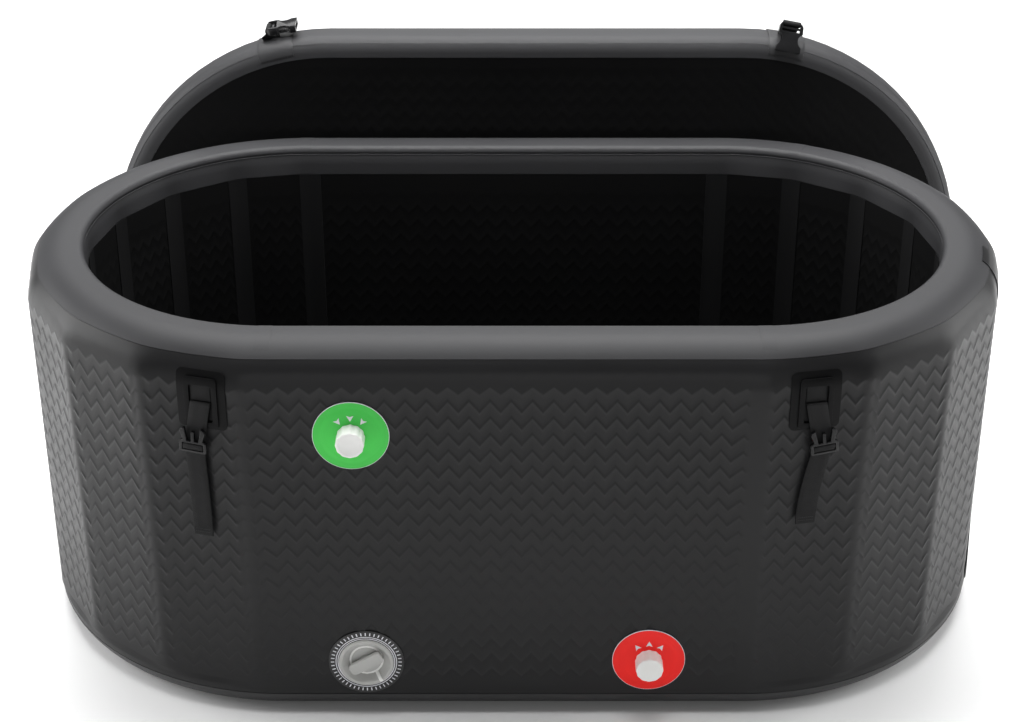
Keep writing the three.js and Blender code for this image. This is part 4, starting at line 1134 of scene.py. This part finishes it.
def make_port(name, spot, finish, slot, inward):
    place = wall_place(*spot)
    hole = SPIGOT_RADIUS + GAP
    flange_top = GAP + FLANGE_THICKNESS
    raised = flange_top + GAP
    dome = raised + PATCH_THICKNESS
    slope = FLANGE_RADIUS + GAP + dome
    low = GAP + PATCH_THICKNESS
    patch = turned(f"{name}_disc", [
        (hole, raised),
        (FLANGE_RADIUS + GAP, raised),
        (slope, GAP),
        (PATCH_RADIUS, GAP),
        (PATCH_RADIUS, low - 0.0003),
        (PATCH_RADIUS - 0.0003, low),
        (slope + PATCH_THICKNESS + 0.003, low),
        (slope + PATCH_THICKNESS, low + 0.0003),
        (FLANGE_RADIUS + 0.002, dome - 0.0003),
        (FLANGE_RADIUS - 0.002, dome),
        (hole, dome),
    ], place, 96)
    dress(patch, finish, "tub", slot, f"{name}_patch")
    edge = turned(f"{name}_cut_edge", [
        (PATCH_RADIUS + 0.0001, GAP),
        (PATCH_RADIUS + 0.0005, GAP),
        (PATCH_RADIUS + 0.0005, low - 0.0002),
        (PATCH_RADIUS + 0.0001, low + 0.0001),
        (PATCH_RADIUS - 0.0002, low + 0.0001),
        (PATCH_RADIUS - 0.0002, low),
        (PATCH_RADIUS + 0.0001, low),
    ], place, 96)
    dress(edge, PRINT_WHITE, "tub", slot)
    arrow = [(0, -0.0056), (0.0050, 0.0040), (0, 0.0020), (-0.0050, 0.0040)]
    shape = flat_shape("arrow", arrow, 0.0002)
    angles = math.pi / 2 + np.radians(ARROW_ANGLES)
    places = polar_places(place, ARROW_RADIUS, dome + 0.00005, angles, 0.0 if inward else math.pi)
    dress(row_of(f"{name}_arrows", shape, places, PRINT_WHITE), PRINT_WHITE, "tub", slot)

    eased_copy(f"{name}_spigot_eased", f"{name}_spigot", 0.0004, CAP_WHITE, "tub", "white_plastic")
    eased_copy(f"{name}_nut_eased", f"{name}_inner_nut", 0.0008, CAP_WHITE, "tub", "white_plastic", 3)
    eased_copy(f"{name}_gasket_eased", f"{name}_inner_gasket", 0.0004, SEAL_RUBBER, "tub", "seal_rubber")
    eased_copy(
        f"{name}_seal_eased", f"{name}_cap_seal", 0.0004, SEAL_RUBBER, f"{name}_cap_carrier", "seal_rubber"
    )
    seal_top = SPIGOT_REACH + GAP + CAP_SEAL
    bore = SPIGOT_RADIUS + 2 * GAP
    foot = dome + GAP
    top = seal_top + GAP + CAP_CROWN
    shoulder = [
        (CAP_RADIUS - CAP_EDGE + CAP_EDGE * math.cos(a), top - CAP_EDGE + CAP_EDGE * math.sin(a), 1 - a / (math.pi / 2))
        for a in np.linspace(0, math.pi / 2, 7)
    ]
    cap = fluted(f"{name}_cap_ribbed", [
        (bore, foot, 0),
        (CAP_RADIUS - 0.0006, foot, 1),
        (CAP_RADIUS, foot + 0.0006, 1),
        *shoulder,
        (CAP_RADIUS - CAP_EDGE - 0.0025, top, 0),
        (CAP_RADIUS - CAP_EDGE - 0.0031, top - 0.0004, 0),
        (0, top - 0.0004, 0),
        (0, seal_top + GAP, 0),
        (bore, seal_top + GAP, 0),
    ], place, CAP_FLUTES, CAP_FLUTE_DEPTH)
    dress(cap, CAP_WHITE, f"{name}_cap_turning", "white_plastic", f"{name}_cap")


make_port("inlet", INLET, PORT_GREEN, "port_green", True)
make_port("outlet", OUTLET, PORT_RED, "port_red", False)


# Inflation valves

def make_spring(prefix, place, low, high, body):
    """Coil of round wire about the stem."""
    per_turn, sides = 24, 10
    count = per_turn * SPRING_TURNS
    rings = []
    for i in range(count + 1):
        a = 2 * math.pi * i / per_turn
        z = low + SPRING_WIRE / 2 + (high - low - SPRING_WIRE) * i / count
        for j in range(sides):
            t = 2 * math.pi * j / sides
            r = SPRING_RADIUS + SPRING_WIRE / 2 * math.cos(t)
            rings.append(place @ Vector((r * math.cos(a), r * math.sin(a), z + SPRING_WIRE / 2 * math.sin(t))))
    faces = grid_faces(count + 1, sides, False, True)
    faces.append(tuple(range(sides)))
    faces.append(tuple(range(count * sides, (count + 1) * sides))[::-1])
    coil = tidy_normals(mesh_object(f"{prefix}_coil", rings, faces))
    dress(coil, SPRING_STEEL, body, "spring_steel", f"{prefix}_spring")
    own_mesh(coil)


def make_valve(prefix, place, seat, body):
    flange = seat + GAP
    lip = flange + VALVE_FLANGE_THICKNESS
    well = lip - 0.0008
    bridge = VALVE_BRIDGE_THICKNESS - VALVE_BRIDGE_DEPTH
    guide = VALVE_STEM + GAP
    shell = turned(f"{prefix}_shell", [
        (VALVE_BORE, -VALVE_LENGTH),
        (VALVE_BARREL, -VALVE_LENGTH),
        (VALVE_BARREL, flange),
        (VALVE_FLANGE, flange),
        (VALVE_FLANGE, lip - 0.0016),
        (VALVE_FLANGE - 0.0004, lip - 0.0007),
        (VALVE_FLANGE - 0.0014, lip),
        (VALVE_DISH + 0.0014, lip),
        (VALVE_DISH + 0.0004, lip - 0.0003),
        (VALVE_DISH, well),
        (VALVE_POCKET + 0.0008, -VALVE_POCKET_DEPTH + 0.0008),
        (VALVE_POCKET, -VALVE_POCKET_DEPTH),
        (VALVE_POCKET, -VALVE_SEAT),
        (VALVE_BORE, -VALVE_SEAT),
        (VALVE_BORE, bridge),
        (guide, bridge),
        (guide, -VALVE_BRIDGE_DEPTH),
        (VALVE_BORE, -VALVE_BRIDGE_DEPTH),
    ], place, 96)
    window = (VALVE_BORE - guide) / 2 - 0.001
    for i in range(3):
        turn = Matrix.Rotation(2 * math.pi * i / 3, 4, "Z") @ Matrix.Translation(((VALVE_BORE + guide) / 2, 0, 0))
        cut(shell, cylinder(window, -VALVE_BRIDGE_DEPTH - 0.001, bridge + 0.001, place @ turn, 24))
    dress(shell, VALVE_GREY, body, "valve_grey", f"{prefix}_body")
    eased_copy(f"{prefix}_stem_eased", f"{prefix}_plunger", 0.0003, CAP_WHITE, f"{prefix}_stem", "white_plastic")
    head = -VALVE_SEAT + 0.001
    make_spring(prefix, place, bridge + GAP, head - GAP, body)
    eased_copy(f"{prefix}_seal_eased", f"{prefix}_cap_seal", 0.0004, SEAL_RUBBER, f"{prefix}_cap_carrier", "seal_rubber")
    eased_copy(f"{prefix}_cap_eased", f"{prefix}_cap", 0.0011, VALVE_GREY, f"{prefix}_cap_turning", "valve_grey", 3)
    eased_copy(f"{prefix}_tether_eased", f"{prefix}_cap_tether", 0.0003, CAP_WHITE, body, "valve_grey")


def make_valve_label():
    place = wall_place(*VALVE)
    top = GAP + LABEL_THICKNESS
    inner = VALVE_FLANGE + GAP
    disc = turned("valve_label", [
        (inner, GAP),
        (LABEL_RADIUS, GAP),
        (LABEL_RADIUS, top - 0.0002),
        (LABEL_RADIUS - 0.0003, top),
        (inner, top),
    ], place, 96)
    dress(disc, LABEL_BLACK, "tub", "wall_pvc", "valve_label_ring")
    for number, radius in enumerate(LABEL_RINGS):
        ring = turned(f"valve_label_line_{number + 1}", [
            (radius, top),
            (radius + LABEL_LINE, top),
            (radius + LABEL_LINE, top + 0.00012),
            (radius, top + 0.00012),
        ], place, 96)
        dress(ring, PRINT_WHITE, "tub", "wall_pvc")
    half, reach = TICK_WIDTH / 2, TICK_LENGTH / 2
    shape = flat_shape("tick", [(-half, -reach), (half, -reach), (half, reach), (-half, reach)], 0.00012)
    angles = np.linspace(0, 2 * math.pi, TICKS, endpoint=False)
    ticks = row_of("valve_label_ticks", shape, polar_places(place, TICK_RADIUS, top, angles), PRINT_WHITE)
    dress(ticks, PRINT_WHITE, "tub", "wall_pvc")
    eased_copy("valve_gasket_eased", "valve_gasket", 0.0002, SEAL_RUBBER, "tub", "seal_rubber")
    eased_copy("valve_nut_eased", "valve_nut", 0.0008, VALVE_GREY, "tub", "valve_grey", 3)


make_valve("valve", wall_place(*VALVE), GAP + VALVE_GASKET, "tub")
make_valve("lid_valve", LID_VALVE_PLACE, 0.0, "lid")
make_valve_label()


# Webbing and buckles

def rounded_path(points, radius, steps=4):
    """Broken line with its corners rounded."""
    points = [np.array(p, float) for p in points]
    path = [points[0]]
    for before, corner, after in zip(points, points[1:], points[2:]):
        toward, onward = unit(before - corner), unit(after - corner)
        room = min(radius, np.linalg.norm(before - corner) / 2, np.linalg.norm(after - corner) / 2)
        first, last = corner + toward * room, corner + onward * room
        for t in np.linspace(0, 1, steps + 1):
            path.append((1 - t) ** 2 * first + 2 * t * (1 - t) * corner + t * t * last)
    path.append(points[-1])
    return [tuple(p) for p in path]


WEB_SECTION = (
    (-0.5, -0.2), (-0.475, -0.5), (-0.2, -0.5), (0.2, -0.5), (0.475, -0.5), (0.5, -0.2),
    (0.5, 0.2), (0.475, 0.5), (0.2, 0.5), (-0.2, 0.5), (-0.475, 0.5), (-0.5, 0.2),
)


def ribbon(name, place, centres, widths, thickness=None):
    """Webbing along a line of centres, with its width's direction at each, and metres on its UV map."""
    centres = np.array(centres, float)
    ahead = np.gradient(centres, axis=0)
    run = np.concatenate([[0], np.cumsum(np.linalg.norm(np.diff(centres, axis=0), axis=1))])
    thickness = np.full(len(centres), WEB_THICKNESS) if thickness is None else thickness
    points, uvs = [], []
    for centre, direction, width, thick, length in zip(centres, ahead, widths, thickness, run):
        width = unit(np.array(width, float))
        normal = unit(np.cross(width, direction))
        for u, v in WEB_SECTION:
            points.append(place @ Vector(centre + width * u * WEB_WIDTH + normal * v * thick))
            uvs.append((u * WEB_WIDTH, length))
    sides = len(WEB_SECTION)
    faces = grid_faces(len(centres), sides, False, True)
    faces.append(tuple(range(sides)))
    faces.append(tuple(range(len(points) - sides, len(points)))[::-1])
    piece = mesh_object(name, points, faces)
    layer = piece.data.uv_layers.new(name="UVMap")
    for loop in piece.data.loops:
        layer.data[loop.index].uv = uvs[loop.vertex_index]
    return tidy_normals(piece)


def strap_place(side, shift):
    """Frame on the end panel beside the front, at the strap's pivot height: X along, Y up, Z outwards."""
    lead, step = panel_spread(side)
    angle = -math.pi / 2 + side * (lead + step / 2)
    outward = Vector((math.cos(angle), math.sin(angle), 0))
    up = Vector((0, 0, 1))
    along = up.cross(outward)
    apothem = TUB_RADIUS * math.cos(step / 2 - BAND_ANGLE)
    origin = Vector((side * HALF_STRAIGHT, 0, STRAP_PIVOT)) + outward * apothem + along * shift
    return Matrix.Translation(origin) @ Matrix((along, up, outward)).transposed().to_4x4()


def make_stitches(name, place, rows, width, height, body):
    """Rows of short stitches across a hem."""
    half = STITCH_LENGTH / 2
    shape = flat_shape("stitch", [(-half, -0.0002), (half, -0.0002), (half, 0.0002), (-half, 0.0002)], 0.0003)
    count = int(width / (1.6 * STITCH_LENGTH))
    across = (np.arange(count) - (count - 1) / 2) * 1.6 * STITCH_LENGTH
    places = [place @ Matrix.Translation((x, y, height)) for y in rows for x in across]
    dress(row_of(name, shape, places, STITCH_THREAD), STITCH_THREAD, body, "webbing")


def over_shoulder(point):
    """Point of a strap's frame, bent with the wall where it leans in under the rim."""
    rise = max(0.0, point.y - (TUB_HEIGHT - RIM_OUTER - STRAP_PIVOT))
    lean = rise / RIM_OUTER
    swell = rim_roundness(math.pi - lean) * (STRAP_SWELL - point.x ** 2 / (2 * TUB_RADIUS))
    reach = RIM_OUTER + point.z + swell
    return Vector((point.x, point.y - rise + reach * math.sin(lean), reach * math.cos(lean) - RIM_OUTER))


def make_patch(name, node, place, wider=1.0, taller=0.0):
    """Strap's patch, bent over the wall's shoulder."""
    piece = copy_of_node(name, node)
    piece.data.transform(place.inverted())
    work = bmesh.new()
    work.from_mesh(piece.data)
    low, high = (limit(v.co.y for v in work.verts) for limit in (min, max))
    for vertex in work.verts:
        vertex.co.x *= wider
        vertex.co.y += taller * (vertex.co.y - low) / (high - low)
    for y in np.linspace(TUB_HEIGHT - RIM_OUTER - STRAP_PIVOT, high + taller, 8)[:-1]:
        whole = [*work.verts, *work.edges, *work.faces]
        bmesh.ops.bisect_plane(work, geom=whole, plane_co=(0, y, 0), plane_no=(0, 1, 0))
    for vertex in work.verts:
        vertex.co = over_shoulder(vertex.co)
    work.to_mesh(piece.data)
    work.free()
    piece.data.transform(place)
    bevelled(piece, 0.0005, 3)
    dress(piece, STRAP_PATCH_PVC_PAINTED_SHADE, "tub", "wall_pvc", node)


def make_strap(name, side, shift, tail_height, hang):
    place = strap_place(side, shift)
    bar_aside, turn, tail_aside = hang
    base_top = GAP + BASE_PATCH_THICKNESS
    fold_outer = FOLD_RADIUS + WEB_THICKNESS / 2
    top = STRAP_TOP - STRAP_PIVOT
    make_patch(f"{name}_base_eased", f"{name}_strap_base_patch", place, PATCH_WIDER, PATCH_TALLER)
    make_patch(f"{name}_loop_eased", f"{name}_strap_loop_patch", place)
    level = base_top + GAP + WEB_THICKNESS / 2
    heights = np.linspace(top - 0.006, fold_outer + 2 * GAP, 12)
    line = [over_shoulder(Vector((0, y, level))) for y in heights]
    anchor = ribbon(f"{name}_sewn_end", place, line, [(1, 0, 0)] * len(line))
    dress(anchor, WEBBING, "tub", "webbing", f"{name}_strap_anchor")

    hanging = place @ Matrix.Translation((0, 0, GAP + base_top + fold_outer))
    bar = LADDER_BAR - STRAP_PIVOT
    back = FOLD_RADIUS
    buckle = back + WEB_THICKNESS / 2 + GAP + BUCKLE_THICKNESS / 2
    front = buckle + LADDER_BAR_THICKNESS / 2 + GAP + WEB_THICKNESS / 2
    step = LADDER_BAR_HALF + LADDER_SLOT / 2
    tail_from = bar - 4 * step
    tail = tail_height - STRAP_PIVOT
    threaded = [
        *arc((0, 0), FOLD_RADIUS, math.pi, 0, 12),
        *rounded_path([
            (back, -0.001),
            (back, bar / 2),
            (back, bar + step),
            (front, bar + step),
            (front, bar - step),
            (back, bar - step),
            (back, tail_from),
        ], 0.0013),
        *[(back, y) for y in np.linspace(tail_from, tail, 25)[1:]],
    ]
    centres, widths = [], []
    for z, y in threaded:
        held = min(1.0, max(0.0, y / bar))
        freed = max(0.0, (bar - y) / (bar - tail))
        aside = bar_aside * held + (tail_aside - bar_aside) * math.sin(freed * math.pi / 2)
        angle = turn * held * (1 - freed) ** 3
        centres.append((aside, y, z))
        widths.append((math.cos(angle), math.sin(angle), 0))
    hem = np.array([y for _, y, _ in centres]) < tail + HEM
    web = ribbon(f"{name}_web", hanging, centres, widths, WEB_THICKNESS * np.where(hem, 1.7, 1.0))
    dress(web, WEBBING, None, "webbing", f"{name}_strap_webbing")
    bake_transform(web)
    sewn = hanging @ Matrix.Translation((tail_aside, 0, back))
    rows = (tail + 0.4 * HEM, tail + 0.75 * HEM)
    make_stitches(f"{name}_hem_stitches", sewn, rows, 0.84 * WEB_WIDTH, 0.85 * WEB_THICKNESS, f"{name}_strap")

    tilted = hanging @ Matrix.Rotation(side * STRAP_TILT, 4, "Z") @ Matrix.Translation((0, bar, 0))
    eased = hanging @ Matrix.Translation((bar_aside, bar, 0)) @ Matrix.Rotation(turn, 4, "Z")
    clip = copy_of_node(f"{name}_buckle_eased", f"{name}_male_buckle")
    clip.data.transform(eased @ tilted.inverted())
    bevelled(clip, 0.0010, 3)
    dress(clip, BUCKLE_BLACK, f"{name}_strap", "buckle_plastic", f"{name}_male_buckle")


def lid_edge_place(side):
    """Frame on the lid's edge: X along it, Y away from it, Z towards the underside."""
    angle = -math.pi / 2 + side * lid_strap_angle(side)
    out = Vector((math.cos(angle), math.sin(angle), 0))
    down = Vector((0, 0, -1))
    along = out.cross(down)
    at = out * LID_RADIUS + Vector((side * LID_HALF, 0, LID_THICKNESS / 2))
    turn = Matrix([lid_direction(v) for v in (along, out, down)]).transposed().to_4x4()
    return Matrix.Translation(lid_point(*at)) @ turn


def make_lid_strap(name, side):
    pivot = 2 * GAP + LID_PATCH_THICKNESS + FOLD_RADIUS + WEB_THICKNESS / 2
    slip, sink = LID_LEFT_WEB if side < 0 else (0, 0)
    place = lid_edge_place(side) @ Matrix.Translation((slip, pivot + sink, 0))
    ring = math.sqrt(2) * 0.002 + GAP + WEB_THICKNESS / 2
    fold = arc((0, 0), FOLD_RADIUS, -3 * math.pi / 2, 0, 16)
    centres = [(0, y, z) for z, y in fold]
    widths = [(1, 0, 0)] * len(centres)
    if side > 0:
        bar_y, bar_z = LID_RIGHT_BAR
        start = math.atan2(bar_y, bar_z - FOLD_RADIUS + ring) + math.pi / 2
        loop = arc((bar_z, bar_y), ring, start, start - 3.1 * math.pi / 2, 24)
        centres += [(0, y, z) for z, y in loop]
        widths += [(1, 0, 0)] * len(loop)
    else:
        bar = LID_LEFT_BAR
        for share in np.linspace(0, 1, 13)[1:]:
            angle = math.pi / 2 * min(1, share * 1.5)
            centres.append((-ring * math.sin(angle), 0.002 + (bar - 0.002) * share, FOLD_RADIUS * (1 - share)))
            widths.append((math.cos(angle), 0, -math.sin(angle)))
        for x, y in arc((0, bar), ring, math.pi, -0.45 * math.pi, 24)[1:]:
            centres.append((x, y, 0))
            widths.append((0, 0, -1))
    body = f"lid_{name}_buckle"
    dress(ribbon(f"lid_{name}_web", place, centres, widths), WEBBING, body, "webbing", f"lid_{name}_strap_webbing")
    node = f"lid_{name}_female_buckle"
    eased_copy(f"lid_{name}_socket_eased", node, 0.0008, BUCKLE_BLACK, body, "buckle_plastic", 3)


make_strap("left", -1, LEFT_STRAP_SHIFT, LEFT_TAIL, LEFT_HANG)
make_strap("right", 1, 0.0, RIGHT_TAIL, RIGHT_HANG)
make_lid_strap("left", -1)
make_lid_strap("right", 1)

for core in ("drop_stitch_core", "lid_drop_stitch_core"):
    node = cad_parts[core]
    node.data.materials.clear()
    node.data.materials.append(CORE_THREAD)



# Camera, light and floor

def make_camera():
    camera = bpy.data.cameras.new("camera")
    camera.sensor_fit = "HORIZONTAL"
    camera.sensor_width = 36
    camera.lens = camera.sensor_width * FOCAL_PIXELS / IMAGE_WIDTH
    piece = link_object("camera", camera)
    piece.location = CAMERA_PLACE
    piece.rotation_euler = (math.pi / 2 - CAMERA_PITCH, 0, 0)
    bpy.context.scene.camera = piece


def soft_light(name, place, target, width, height, power, spread=math.pi):
    light = bpy.data.lights.new(name, "AREA")
    light.spread = spread
    light.shape = "RECTANGLE"
    light.size = width
    light.size_y = height
    light.energy = power
    piece = link_object(name, light)
    piece.location = place
    piece.rotation_euler = (Vector(target) - Vector(place)).to_track_quat("-Z", "Y").to_euler()


def make_studio():
    size = 9.0
    corners = [(-size, -size, 0), (size, -size, 0), (size, size, 0), (-size, size, 0)]
    floor = mesh_object("studio_floor", [(x, y, -0.0004) for x, y, _ in corners], [(0, 1, 2, 3)])
    floor.data.materials.append(FLOOR_PALE)
    world = bpy.data.worlds.new("studio")
    world.use_nodes = True
    world.node_tree.nodes["Background"].inputs["Color"].default_value = (1, 1, 1, 1)
    world.node_tree.nodes["Background"].inputs["Strength"].default_value = 0.10
    bpy.context.scene.world = world
    bpy.context.scene.view_settings.view_transform = "Standard"
    soft_light("overhead", (0, 1.0, 3.1), (0, 0.3, 0), 3.4, 2.2, 190)
    soft_light("front_top", (0, -0.9, 3.0), (0, -0.75, 0), 3.0, 0.5, 3, math.radians(50))
    soft_light("back_top", (0, -0.6, 3.0), (0, 0.42, 0.62), 2.4, 0.4, 7, math.radians(40))
    soft_light("front_fill", (0, -3.8, 1.3), (0, -0.4, 0.2), 3.0, 1.4, 20)
    soft_light("backdrop_wash", (0, 4.2, 2.6), (0, 4.2, 0), 5.0, 2.4, 90)
    soft_light("left_side", (-3.2, 0.2, 1.3), (-0.5, 0, 0.4), 2.2, 2.2, 88)
    soft_light("right_side", (3.2, 0.2, 1.3), (0.5, 0, 0.4), 2.2, 2.2, 66)


make_camera()
make_studio()
